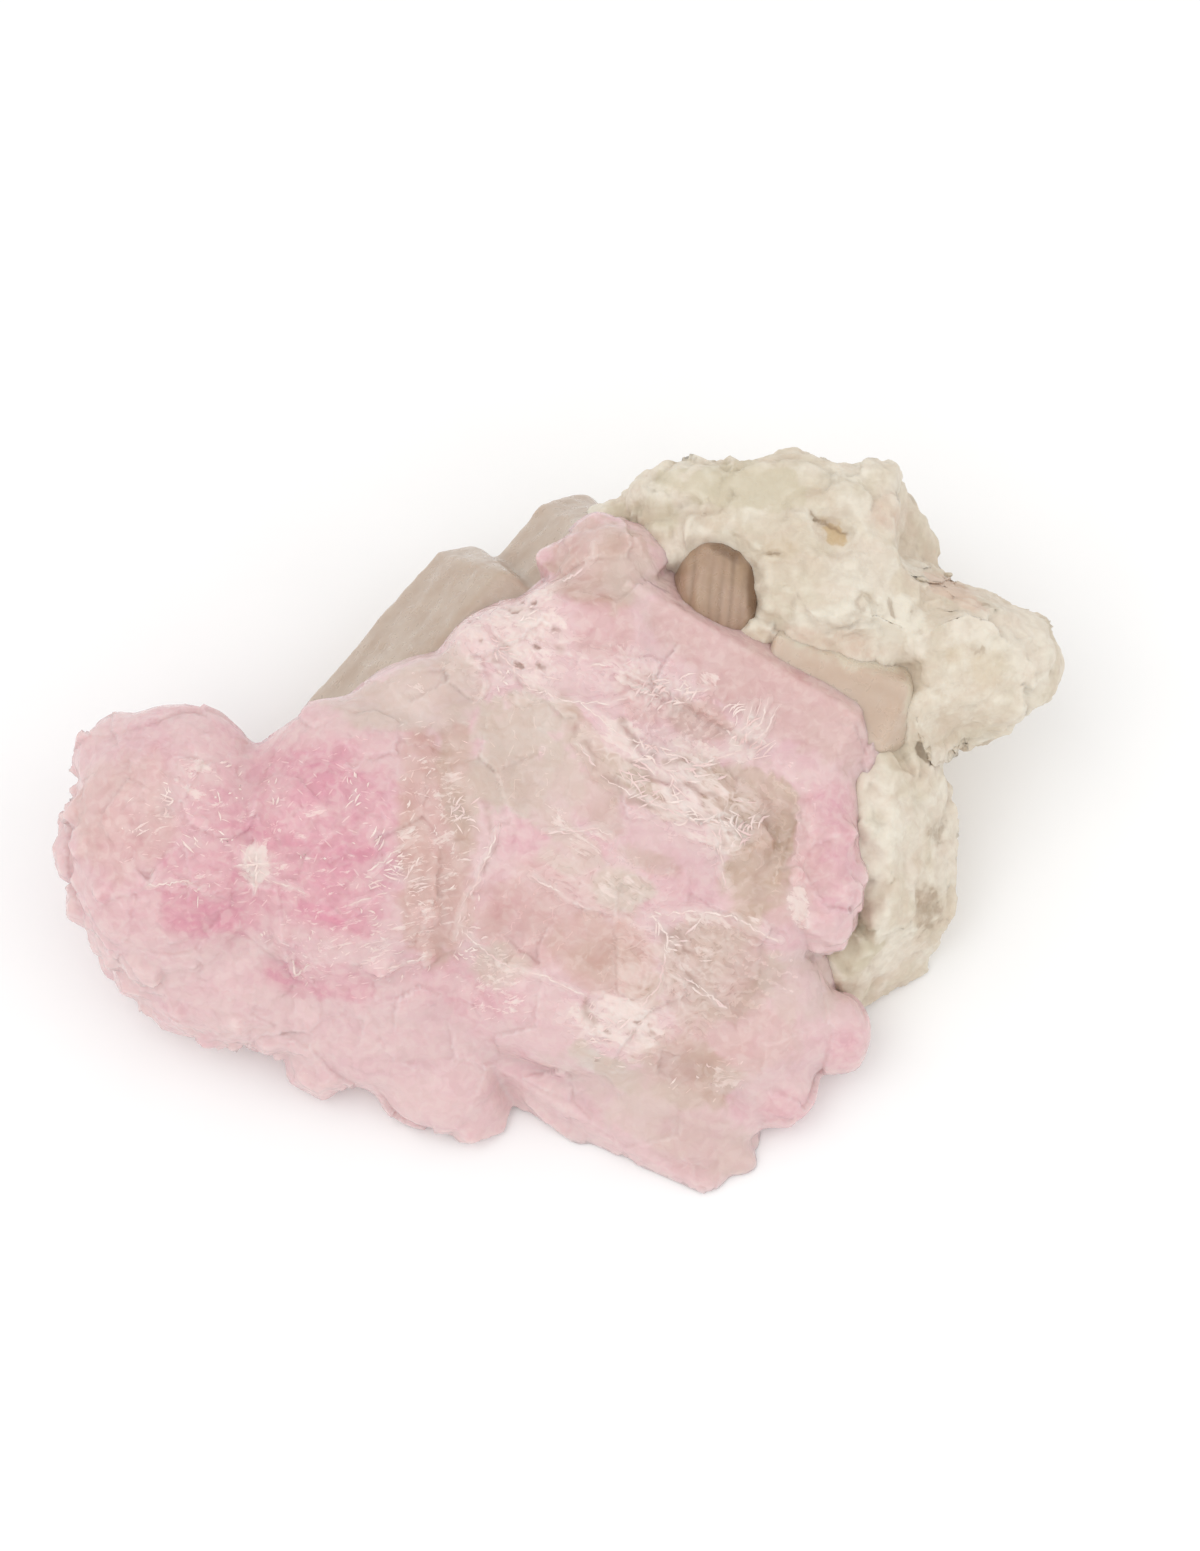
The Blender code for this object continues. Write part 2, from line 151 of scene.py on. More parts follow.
def fuse(obj: Piece, voxel: float, soften: int) -> None:
    """Grows overlapping parts into one closed skin with a grain of so many millimetres."""
    apply_modifier(obj, "REMESH", mode="VOXEL", voxel_size=voxel * MM, use_smooth_shade=True)
    if soften:
        apply_modifier(obj, "SMOOTH", factor=0.5, iterations=soften)


def thin_to(obj: Piece, triangles: int) -> None:
    """Thins a mesh to at most this many triangles."""
    obj.data.calc_loop_triangles()
    ratio = triangles / len(obj.data.loop_triangles)
    if ratio < 1.0:
        apply_modifier(obj, "DECIMATE", ratio=ratio)


def drop_flaps(obj: Piece) -> None:
    """Folds in the tiny upward faces of no thickness that a flat cut leaves along its rim."""
    form = bmesh.new()
    form.from_mesh(obj.data)
    touching = 1e-6
    folded = {}
    for tip in form.verts:
        if len(tip.link_edges) != 2 or tip.co.z > touching:
            continue
        ends = [edge.other_vert(tip) for edge in tip.link_edges]
        if not any(end in folded for end in ends):
            folded[tip] = ends[0]
    bmesh.ops.weld_verts(form, targetmap=folded)
    form.to_mesh(obj.data)
    form.free()


def trim_base(obj: Piece) -> None:
    """Cuts a piece off flat at the height that the specimen rests on."""
    if min(vertex.co.z for vertex in obj.data.vertices) >= 0.0:
        return
    make_active(obj)
    block_side = 0.3
    bpy.ops.mesh.primitive_cube_add(size=block_side, location=(0.0, 0.0, -block_side / 2.0))
    block = bpy.context.object
    apply_modifier(obj, "BOOLEAN", object=block, operation="DIFFERENCE", solver="MANIFOLD")
    bpy.data.objects.remove(block)
    drop_flaps(obj)


def set_down(obj: Piece) -> None:
    """Carries a piece from the display face's frame to where the specimen rests."""
    obj.data.transform(FACE.matrix())
    obj.matrix_world = Matrix.Identity(4)


# ---------------------------------------------------------------- skins


def smooth_step(low: float, high: float, value: Values) -> Values:
    """Runs smoothly from 0 at low to 1 at high."""
    share = np.clip((value - low) / (high - low), 0.0, 1.0)
    return share * share * (3.0 - 2.0 * share)


def turned(places: Values, degrees: float) -> tuple[Values, Values]:
    """Distances along and across a line through the middle of the face, slanting by an angle."""
    angle = math.radians(degrees)
    along = places[:, 0] * math.cos(angle) + places[:, 1] * math.sin(angle)
    across = places[:, 1] * math.cos(angle) - places[:, 0] * math.sin(angle)
    return along, across


@dataclass(frozen=True)
class Grain:
    """Steady noise for many points at once: the same seed always gives the same noise."""

    seed: int

    def toss(self, cell: Values, salt: int) -> Values:
        """A steady value from -1 to 1 for each whole-numbered cell."""
        cell = cell.astype(np.uint64)
        key = cell[:, 0] * np.uint64(73856093) ^ cell[:, 1] * np.uint64(19349663)
        key = key ^ cell[:, 2] * np.uint64(83492791) ^ np.uint64(self.seed * 7919 + salt * 104729)
        for shift, factor in ((15, 2246822519), (13, 3266489917)):
            key = (key ^ (key >> np.uint64(shift))) * np.uint64(factor) & np.uint64(0xFFFFFFFF)
        return (key >> np.uint64(16)).astype(float) / 32767.5 - 1.0

    def smooth(self, points: Values, size: Spot | float) -> Values:
        """Smooth noise, mostly from -0.7 to 0.7."""
        scaled = points / np.asarray(size)
        base = np.floor(scaled).astype(np.int64)
        part = scaled - base
        fade = part**3 * (part * (part * 6.0 - 15.0) + 10.0)
        total = np.zeros(len(points))
        for corner in itertools.product((0, 1), repeat=3):
            away = part - corner
            slope = sum(self.toss(base + corner, axis) * away[:, axis] for axis in range(3))
            total += slope * np.prod(np.where(corner, fade, 1.0 - fade), axis=1)
        return total * 1.3

    def fractal(self, points: Values, size: Spot | float, octaves: int = 3) -> Values:
        """Smooth noise with finer and finer noise added to it."""
        layers = range(octaves)
        return sum(self.smooth(points + 31.7 * k, np.asarray(size) / 2**k) / 2**k for k in layers)

    def ridges(self, points: Values, size: Spot | float, sharpness: float) -> Values:
        """1 along wavering lines, falling to 0 beside them."""
        return np.maximum(1.0 - sharpness * np.abs(self.fractal(points, size, 2)), 0.0)

    def cells(self, points: Values, size: float) -> tuple[Values, ...]:
        """Cells around scattered seeds.

        Args:
            points: The places to look at.
            size: Width of a cell.

        Returns:
            The distances to the nearest seed and to the next, in cell widths, and how far each
            point stands out on its cell's own slope.
        """
        scaled = points / size
        base = np.floor(scaled).astype(np.int64)
        nearest = np.full(len(points), 9.0)
        following = np.full(len(points), 9.0)
        slope = np.zeros(len(points))
        for step in itertools.product((-1, 0, 1), repeat=3):
            cell = base + step
            seed = np.stack([self.toss(cell, axis) for axis in range(3)], axis=1) * 0.45 + 0.5
            offset = scaled - cell - seed
            gap = np.linalg.norm(offset, axis=1)
            tilt = np.stack([self.toss(cell, axis + 3) for axis in range(3)], axis=1)
            closer = gap < nearest
            following = np.where(closer, nearest, np.minimum(following, gap))
            slope = np.where(closer, (offset * tilt).sum(1), slope)
            nearest = np.where(closer, gap, nearest)
        return nearest, following, slope


class Skin:
    """A mesh's points as arrays, in millimetres, to be carved and painted."""

    def __init__(self, obj: Piece) -> None:
        """Reads the mesh's points and normals."""
        self.mesh = obj.data
        self.points = self.read("co") / MM
        self.normals = self.read("normal")

    def read(self, name: str) -> Values:
        """A property of the mesh's points, three numbers for each."""
        values = np.zeros(len(self.mesh.vertices) * 3)
        self.mesh.vertices.foreach_get(name, values)
        return values.reshape(-1, 3)

    def edge_ends(self) -> Values:
        """The points at the two ends of every edge."""
        edges = np.zeros(len(self.mesh.edges) * 2, dtype=np.int64)
        self.mesh.edges.foreach_get("vertices", edges)
        return edges.reshape(-1, 2).T

    @property
    def face(self) -> Values:
        """The points' places across and up the display face."""
        return self.points[:, :2]

    @property
    def front(self) -> Values:
        """1 where the skin looks out of the display face, 0 where it looks aside or back."""
        return smooth_step(0.05, 0.5, self.normals[:, 2])

    def slanted(self, degrees: float) -> Values:
        """The points turned about w, so that a slanting grain lies along the first axis."""
        return np.stack([*turned(self.points, degrees), self.points[:, 2]], axis=1)

    def fray(self, seed: int) -> Values:
        """Noise that frays the edges of patches."""
        grain = Grain(seed)
        return 0.9 * grain.smooth(self.points, 2.6) + 0.7 * grain.fractal(self.points, 0.8, 2)

    def push(self, height: Values) -> None:
        """Moves each point out along its normal, in millimetres."""
        self.points += self.normals * height[:, None]

    def crests(self) -> Values:
        """How far each point stands out from its neighbours: above 0 on edges, below in valleys."""
        start, end = self.edge_ends()
        total = np.zeros_like(self.points)
        count = np.zeros(len(self.points))
        for here, there in ((start, end), (end, start)):
            np.add.at(total, here, self.points[there])
            np.add.at(count, here, 1.0)
        offset = self.points - total / np.maximum(count, 1.0)[:, None]
        return (offset * self.normals).sum(1)

    def blurred(self, value: Values, times: int) -> Values:
        """Averages a value with its neighbours' a number of times."""
        start, end = self.edge_ends()
        count = np.bincount(start, minlength=len(value)) + np.bincount(end, minlength=len(value))
        for _ in range(times):
            total = np.bincount(start, value[end], len(value))
            total += np.bincount(end, value[start], len(value))
            value = 0.5 * value + 0.5 * total / np.maximum(count, 1)
        return value

    def write(self) -> None:
        """Puts the carved points back in the mesh and reads its new normals."""
        self.mesh.vertices.foreach_set("co", (self.points * MM).ravel())
        self.mesh.update()
        self.normals = self.read("normal")

    def paint(self, name: str, value: Values) -> None:
        """Stores a mask on the points, for the finish to read."""
        layer = self.mesh.attributes.new(name, "FLOAT", "POINT")
        layer.data.foreach_set("value", np.clip(value, 0.0, 1.0).astype(np.float32))


@dataclass(frozen=True)
class Patch:
    """A soft-edged patch of the display face."""

    centre: Face
    radii: Face
    turn: float = 0.0
    strength: float = 1.0
    ragged: float = 0.35

    def cover(self, face: Values, wobble: Values, soft: float = 0.6) -> Values:
        """How fully the patch covers each point.

        Args:
            face: Places on the display face.
            wobble: Noise that frays the patch's edge.
            soft: Share of the radii over which the edge fades out.

        Returns:
            A value from 0 to the patch's strength for each point.
        """
        along, across = turned(face - np.array(self.centre), self.turn)
        reach = np.hypot(along / self.radii[0], across / self.radii[1]) + self.ragged * wobble
        return self.strength * (1.0 - smooth_step(1.15 - soft, 1.15, reach))


@dataclass(frozen=True)
class Seam:
    """A thin raised seam that runs over the display face."""

    points: tuple[Face, ...]
    width: float = 0.24
    height: float = 0.08
    strength: float = 1.0

    def nearness(self, face: Values) -> Values:
        """1 on the seam's line, falling to 0 over its width.

        Args:
            face: Places on the display face.

        Returns:
            A value from 0 to the seam's strength for each point.
        """
        nearest = np.full(len(face), 1e9)
        for start, end in zip(self.points, self.points[1:]):
            run = np.array(end) - np.array(start)
            offset = face - np.array(start)
            share = np.clip(offset @ run / (run @ run), 0.0, 1.0)
            gap = np.linalg.norm(offset - share[:, None] * run, axis=1)
            nearest = np.minimum(nearest, gap)
        return self.strength * np.exp(-((nearest / self.width) ** 2))


def patches(*rows: tuple[float, ...]) -> tuple[Patch, ...]:
    """Patches from rows of plain numbers.

    Args:
        rows: Each patch's centre, its radii and then its turn, strength and raggedness.

    Returns:
        The patches.
    """
    return tuple(Patch(row[:2], row[2:4], *row[4:]) for row in rows)


def most(parts: tuple, *inputs: Values | float) -> Values:
    """The fullest cover that any of the patches gives each point."""
    return np.max([part.cover(*inputs) for part in parts], axis=0)


# ---------------------------------------------------------------- lumps and crystals


@dataclass(frozen=True)
class Lump:
    """A rounded swelling, with packed crystals on its skin where it has a spacing."""

    name: str
    centre: Spot
    radii: Spot
    turn: float = 0.0
    spacing: float = 0.0
    parallel: float = 0.0
    point: float = 0.3

    def place(self) -> Matrix:
        """The transform, in metres, that carries a unit cushion to the lump."""
        turn = Matrix.Rotation(math.radians(self.turn), 4, "Z")
        size = Matrix.Diagonal((*(Vector(self.radii) * MM), 1.0))
        return Matrix.Translation(Vector(self.centre) * MM) @ turn @ size

    def spin(self) -> Matrix:
        """The lump's turn about w."""
        return Matrix.Rotation(math.radians(self.turn), 3, "Z")

    def holds(self, point: Vector, margin: float) -> bool:
        """True where a point lies inside the lump grown by margin."""
        local = self.spin().transposed() @ (point - Vector(self.centre))
        return sum((x / (r * margin)) ** 2 for x, r in zip(local, self.radii)) < 1.0

    def skin_point(self, way: Vector, roundness: float) -> tuple[Vector, Vector]:
        """The point of the skin that lies a unit way from the centre, and its normal.

        Args:
            way: A unit direction.
            roundness: How square the lump is: 2 makes a ball of it.

        Returns:
            The point in millimetres, and the unit normal.
        """
        flat = way.to_2d().length ** roundness + abs(way.z) ** roundness
        flat = flat ** (1.0 / roundness)
        stretched = Vector(w / flat * r for w, r in zip(way, self.radii))
        outward = Vector(w / r for w, r in zip(way, self.radii))
        return Vector(self.centre) + self.spin() @ stretched, (self.spin() @ outward).normalized()

    def skin_area(self) -> float:
        """Rough area of the skin, as a ball of its mean radius."""
        mean = sum(self.radii) / 3.0
        return 4.0 * math.pi * mean * mean


@dataclass(frozen=True)
class Hollow:
    """A hollow pressed into the skin, along -w."""

    centre: Spot
    radius: float
    depth: float
    steep: float = 2.0

    def press(self, skin: Skin) -> None:
        """Presses the hollow into a piece's skin."""
        across = np.linalg.norm(skin.face - np.array(self.centre[:2]), axis=1) / self.radius
        profile = (1.0 - np.minimum(across, 1.0) ** self.steep) ** 2
        skin.points[:, 2] -= (skin.points[:, 2] > self.centre[2] - 3.0) * self.depth * profile


@dataclass(frozen=True)
class Break:
    """A flat broken face: nothing within reach stands beyond its plane."""

    place: Spot
    normal: Spot
    reach: float

    def flatten(self, skin: Skin) -> None:
        """Sets skin that stands beyond the plane back on it."""
        across = np.array(Vector(self.normal).normalized())
        offset = skin.points - np.array(self.place)
        proud = offset @ across
        reach = np.linalg.norm(offset - proud[:, None] * across, axis=1)
        share = (proud > 0.0) * (1.0 - smooth_step(0.85 * self.reach, 1.15 * self.reach, reach))
        skin.points -= across * (0.9 * proud * share)[:, None]


class Habit(Enum):
    """The ends that a crystal may have: the tip's size and how far it stands aside."""

    POINTED = (0.06, (0.0, 0.0))
    SKEWED = (0.08, (0.34, 0.16))
    BLUNT = (0.42, (0.12, -0.1))


def round_bodies(lumps: tuple[Lump, ...]) -> list[Piece]:
    """Models each lump as a drum with broadly rounded rims."""
    deselect_all()
    bpy.ops.mesh.primitive_cylinder_add(vertices=40, radius=1.0, depth=2.0)
    drum = bpy.context.object
    rim = math.radians(60.0)
    apply_modifier(drum, "BEVEL", width=0.77, segments=8, limit_method="ANGLE", angle_limit=rim)
    bodies = [copy_of(drum, lump.place()) for lump in lumps]
    bpy.data.objects.remove(drum)
    return bodies


def six_sided(
    radius: float, depth: float, middle: float, tip: Spot, tip_size: float, turn: float = 0.0
) -> Piece:
    """A six-sided prism whose upper end is drawn out to a tip.

    Args:
        radius: From the axis to an edge of the prism.
        depth: The prism's height.
        middle: Height of the prism's middle.
        tip: Where the tip lies from the prism's upper end.
        tip_size: The tip's size as a share of the prism's.
        turn: Turn about the axis, in degrees.

    Returns:
        The crystal, standing up.
    """
    deselect_all()
    bpy.ops.mesh.primitive_cylinder_add(
        vertices=6, radius=radius, depth=depth, location=(0, 0, middle)
    )
    crystal = bpy.context.object
    bpy.ops.object.transform_apply(location=True, rotation=True, scale=True)
    crystal.data.transform(Matrix.Rotation(math.radians(turn), 4, "Z"))
    select_faces(crystal, lambda polygon: polygon.normal.z > 0.9)
    bpy.ops.mesh.extrude_region_move(TRANSFORM_OT_translate={"value": tip})
    bpy.ops.transform.resize(value=(tip_size, tip_size, 1.0))
    bpy.ops.object.mode_set(mode="OBJECT")
    return crystal


def unit_crystal(habit: Habit) -> Piece:
    """A six-sided crystal: collar at height 0, tip at 1 and a foot below."""
    tip_size, aside = habit.value
    foot = 1.8
    return six_sided(1.0, foot, -foot / 2.0, (*aside, 1.0), tip_size)


def long_crystal(foot: Spot, tip: Spot, radius: float, share: float) -> Piece:
    """One large six-sided crystal between two points of the display face.

    Args:
        foot: Middle of its foot.
        tip: Its tip.
        radius: From its axis to an edge.
        share: Share of the length that the pointed end takes.

    Returns:
        The crystal, its edges a little rounded.
    """
    axis = (Vector(tip) - Vector(foot)) * MM
    collar = axis.length * (1.0 - share)
    rise = (0.0, 0.0, axis.length - collar)
    crystal = six_sided(radius * MM, collar, collar / 2.0, rise, 0.1, turn=30.0)
    apply_modifier(crystal, "BEVEL", width=0.3 * MM, segments=2, limit_method="ANGLE")
    turn = axis.to_track_quat("Z", "Y").to_matrix().to_4x4()
    crystal.data.transform(Matrix.Translation(Vector(foot) * MM) @ turn)
    return crystal


def even_ways(count: int) -> list[Vector]:
    """Unit directions spread evenly all round, by the golden angle."""
    golden = math.pi * (3.0 - math.sqrt(5.0))
    ways = []
    for index in range(count):
        height = 1.0 - 2.0 * (index + 0.5) / count
        ring = math.sqrt(1.0 - height * height)
        ways.append(
            Vector((ring * math.cos(golden * index), ring * math.sin(golden * index), height))
        )
    return ways


ROSE_LUMPS = (
    Lump("left_dome", (-28.3, -1.6, -4.0), (7.7, 10.0, 6.6), 0, 3.2, 0.0),
    Lump("heart_dome", (-14.8, -1.8, -4.2), (9.6, 10.6, 7.4), 0, 3.3, 0.0),
    Lump("left_corner", (-31.8, 4.0, -4.8), (3.5, 3.9, 4.2), 0, 3.2, 0.0),
    Lump("left_skirt", (-24.9, -9.7, -6.4), (9.0, 6.4, 5.4), -26, 3.6, 0.1),
    Lump("lower_band", (-15.0, -13.8, -6.8), (12.0, 5.7, 5.0), -20, 4.0, 0.4, 0.2),
    Lump("lower_tip", (-8.8, -18.9, -6.8), (4.9, 4.6, 4.4), 0, 3.8, 0.4, 0.2),
    Lump("middle", (2.0, 0.5, -4.6), (14.0, 13.0, 6.6), 0, 6.2, 0.7, 0.15),
    Lump("upper_ridge", (2.2, 12.2, -4.6), (7.0, 6.2, 5.6), 30, 4.8, 0.7, 0.17),
    Lump("top_knob", (4.0, 18.0, -4.8), (4.0, 3.8, 4.2), 0, 4.0, 0.3, 0.3),
    Lump("right_side", (16.6, 0.5, -4.6), (6.0, 7.6, 5.0), 0, 5.4, 0.6, 0.15),
    Lump("right_disc", (19.2, -3.2, -3.6), (3.4, 6.3, 4.4), 0, 2.8, 0.0),
    Lump("diagonal_ridge", (9.6, 0.4, -0.4), (6.4, 1.7, 2.6), -34, 2.8, 0.4, 0.3),
    Lump("upper_rim", (9.4, 3.6, -1.0), (5.4, 1.3, 2.6), -38),
    Lump("lower_middle", (4.4, -10.6, -5.2), (12.4, 9.0, 6.2), 0, 6.0, 0.6, 0.15),
    Lump("bowl_rim", (7.6, -10.2, -1.8), (4.8, 1.5, 2.6), 36, 2.6, 0.2, 0.3),
    Lump("fan", (12.6, -13.4, -6.0), (7.6, 6.8, 5.2), -12, 4.2, 0.4, 0.22),
    Lump("fan_tip_high", (20.5, -15.7, -6.4), (2.8, 3.2, 3.2), 4),
    Lump("fan_tip_low", (16.4, -20.0, -6.4), (2.8, 2.8, 3.2), -10),
)
ROSE_HOLLOWS = (
    Hollow((9.6, 7.2, 0.0), 4.4, 1.3),
    Hollow((-2.2, 4.0, 0.0), 5.6, 1.0),
    Hollow((12.2, -12.4, 0.0), 6.4, 1.5),
    Hollow((16.0, -1.0, 0.0), 3.2, 0.9),
)
ROSE_SADDLES = (
    Lump("between_domes", (-21.8, -4.4, -4.6), (3.6, 6.2, 5.6)),
    Lump("heart_to_middle", (-6.0, -3.0, -4.4), (4.6, 9.0, 5.9)),
    Lump("heart_to_band", (-13.0, -10.4, -5.6), (8.0, 5.0, 5.6)),
    Lump("middle_to_lower", (4.0, -6.4, -4.6), (10.0, 5.0, 6.1)),
    Lump("disc_to_middle", (14.6, -5.0, -4.4), (5.0, 8.0, 5.2)),
    Lump("band_to_lower", (-3.4, -13.4, -6.2), (6.0, 4.6, 5.4)),
    Lump("bar_to_fan", (6.4, -18.6, -6.4), (9.6, 3.2, 4.5), -27),
    Lump("ridge_shoulder", (-3.4, 11.6, -5.2), (5.4, 4.4, 5.2), 20),
    Lump("heart_shoulder", (-10.4, 8.2, -5.6), (6.0, 3.6, 5.2), 16),
    Lump("bar_swell", (6.6, -22.0, -7.0), (9.6, 3.0, 3.9), -28),
    Lump("fan_shoulder", (17.4, -15.4, -6.2), (4.0, 3.4, 3.9), 0),
    Lump("fan_corner", (21.3, -14.5, -6.6), (1.6, 1.7, 2.6), 0),
    Lump("fan_foot", (21.7, -17.4, -6.6), (1.3, 1.6, 2.4), 0),
)
MATRIX_LUMPS = (
    Lump("block", (8.0, 4.0, -17.0), (20.0, 17.0, 9.0)),
    Lump("crown", (17.0, 18.2, -9.5), (11.2, 8.8, 8.6)),
    Lump("crown_knob", (17.6, 24.2, -8.5), (3.0, 3.2, 4.4)),
    Lump("crown_left", (10.4, 22.2, -9.8), (6.0, 5.9, 6.6)),
    Lump("crown_edge", (4.8, 21.8, -10.5), (4.2, 2.2, 4.2), 14),
    Lump("crown_back", (16.0, 16.0, -20.0), (13.0, 10.0, 10.0)),
    Lump("brow", (24.4, 20.8, -9.6), (5.4, 6.2, 6.0)),
    Lump("arm", (29.4, 11.5, -9.5), (7.2, 6.3, 7.0)),
    Lump("arm_tip", (33.7, 11.8, -9.5), (4.2, 4.4, 4.4), 20),
    Lump("arm_root", (22.4, 11.0, -12.0), (9.0, 9.4, 9.6)),
    Lump("flank", (23.2, -1.6, -11.0), (7.0, 10.8, 8.4)),
    Lump("flank_foot", (22.5, -7.8, -11.0), (7.0, 6.4, 6.6)),
    Lump("knob_high", (13.6, 21.2, -3.6), (4.4, 2.2, 3.0), 12),
    Lump("knob_brow", (22.6, 19.6, -4.2), (3.0, 3.8, 3.0), 20),
    Lump("knob_middle", (20.8, 16.4, -4.0), (7.0, 2.6, 3.6), -14),
    Lump("knob_arm", (29.2, 12.2, -4.0), (4.4, 3.4, 3.2), -30),
    Lump("arm_neck", (29.4, 7.8, -5.4), (2.8, 3.6, 3.2), 0),
    Lump("knob_flank", (24.0, 1.0, -4.6), (3.0, 4.4, 3.0), 10),
    Lump("knob_foot", (24.4, -6.4, -5.4), (3.2, 3.2, 2.8)),
)
MATRIX_HOLLOWS = (
    Hollow((20.6, 21.2, -2.0), 2.6, 1.2),
    Hollow((25.4, 10.2, -3.0), 2.4, 1.2),
    Hollow((26.4, -2.6, -3.0), 1.8, 0.5),
    Hollow((11.7, 17.3, -1.8), 4.2, 1.8, 4.0),
)
MATRIX_BREAKS = (
    Break((16.0, 19.0, -1.6), (0.0, 0.3, 1.0), 7.0),
    Break((24.6, 19.4, -3.0), (0.5, 0.25, 1.0), 6.0),
    Break((30.4, 10.4, -3.4), (0.3, -0.3, 1.0), 6.0),
    Break((27.4, -1.0, -5.4), (1.0, -0.1, 0.8), 9.0),
    Break((25.6, -9.6, -7.0), (0.7, -0.8, 0.6), 6.0),
    Break((30.6, 17.0, -8.0), (0.35, 1.0, 0.2), 7.0),
    Break((33.0, 8.0, -12.6), (0.5, -0.4, -0.8), 7.0),
    Break((26.6, 24.0, -13.0), (0.8, 0.8, -0.2), 8.0),
    Break((12.0, 24.6, -14.0), (-0.3, 1.0, -0.2), 9.0),
    Break((27.4, -4.0, -14.6), (1.0, -0.1, -0.5), 10.0),
    Break((16.0, 24.4, -22.0), (0.1, 1.0, -0.2), 12.0),
    Break((28.4, 14.0, -18.0), (1.0, 0.3, -0.5), 7.0),
)


# ---------------------------------------------------------------- node work


class Wiring:
    """A node tree being wired."""

    def __init__(self, tree: Tree) -> None:
        """Takes the tree that nodes are added to."""
        self.tree = tree

    def node(self, kind: str, settings: dict | None = None, **sockets: object) -> bpy.types.Node:
        """Adds a node and sets or links its inputs.

        Args:
            kind: The node's type, without its ShaderNode prefix.
            settings: The node's own properties.
            sockets: Input values or output sockets, by input name with _ for a space.

        Returns:
            The node.
        """
        made = self.tree.nodes.new("ShaderNode" + kind)
        for name, value in (settings or {}).items():
            setattr(made, name, value)
        for name, value in sockets.items():
            self.feed(made, name.replace("_", " "), value)
        return made

    def feed(self, node: bpy.types.Node, name: str | int, value: object) -> None:
        """Links an output to a node's input, or sets the input to a plain value."""
        socket = node.inputs[name]
        if isinstance(value, Socket):
            self.tree.links.new(value, socket)
        else:
            socket.default_value = value

    def math(self, operation: str, first: object, second: object = 0.0) -> Socket:
        """The result of arithmetic on two values."""
        made = self.node("Math", {"operation": operation})
        self.feed(made, 0, first)
        self.feed(made, 1, second)
        return made.outputs[0]

    def times(self, first: object, second: object) -> Socket:
        """The product of two values."""
        return self.math("MULTIPLY", first, second)

    def shifted(self, value: object, factor: float, base: float) -> Socket:
        """A value times a factor, added to a base."""
        made = self.math("MULTIPLY_ADD", value, factor)
        made.node.inputs[2].default_value = base
        return made

    def span(self, value: object, low: float, high: float) -> Socket:
        """Runs smoothly from 0 to 1 as a value goes from low to high."""
        made = self.node("MapRange", {"interpolation_type": "SMOOTHSTEP"}, Value=value)
        self.feed(made, "From Min", low)
        self.feed(made, "From Max", high)
        return made.outputs[0]

    def mix(self, share: object, first: object, second: object) -> Socket:
        """Mixes two colours."""
        made = self.node("Mix", {"data_type": "RGBA"})
        self.feed(made, 0, share)
        self.feed(made, 6, first)
        self.feed(made, 7, second)
        return made.outputs[2]

    def tint(self, under: object, colour: Colour, mask: Socket, strength: object) -> Socket:
        """Lays a colour over another where a mask says so.

        Args:
            under: The colour under it.
            colour: The colour that is laid over.
            mask: Where it lies.
            strength: How strongly it covers where the mask is full.

        Returns:
            The mixed colour.
        """
        return self.mix(self.times(mask, strength), under, colour)

    def mask(self, name: str) -> Socket:
        """A mask that was painted on the piece's points."""
        return self.node("Attribute", {"attribute_name": name}).outputs["Fac"]

    def group(self, tree: Tree, **sockets: object) -> bpy.types.Node:
        """Places a shared effect with its own values."""
        made = self.tree.nodes.new("ShaderNodeGroup")
        made.node_tree = tree
        for name, value in sockets.items():
            self.feed(made, name.replace("_", " "), value)
        return made


def tone(red: int, green: int, blue: int) -> Colour:
    """A colour as it is seen, each part from 0 to 255, made linear with full alpha."""

    def linear(value: int) -> float:
        """One part of the colour, made linear."""
        share = value / 255.0
        return share / 12.92 if share <= 0.04045 else ((share + 0.055) / 1.055) ** 2.4

    return (linear(red), linear(green), linear(blue), 1.0)


def new_group(
    name: str, inputs: dict[str, float | None], *outputs: str
) -> tuple[Wiring, dict, bpy.types.Node]:
    """Starts a shared effect.

    Args:
        name: The group's name.
        inputs: Default value of each input, by name, or None where it takes a place.
        outputs: Names of the outputs. The one named Vector gives a place, the others a value.

    Returns:
        The wiring, the group's input sockets by name, and its output node.
    """
    tree = bpy.data.node_groups.new(name, "ShaderNodeTree")
    for title, value in inputs.items():
        kind = VECTOR if value is None else FLOAT
        socket = tree.interface.new_socket(title, in_out="INPUT", socket_type=kind)
        if value is not None:
            socket.default_value = value
    for title in outputs:
        kind = VECTOR if title == "Vector" else FLOAT
        tree.interface.new_socket(title, in_out="OUTPUT", socket_type=kind)
    entry = tree.nodes.new("NodeGroupInput")
    leave = tree.nodes.new("NodeGroupOutput")
    return Wiring(tree), {s.name: s for s in entry.outputs}, leave


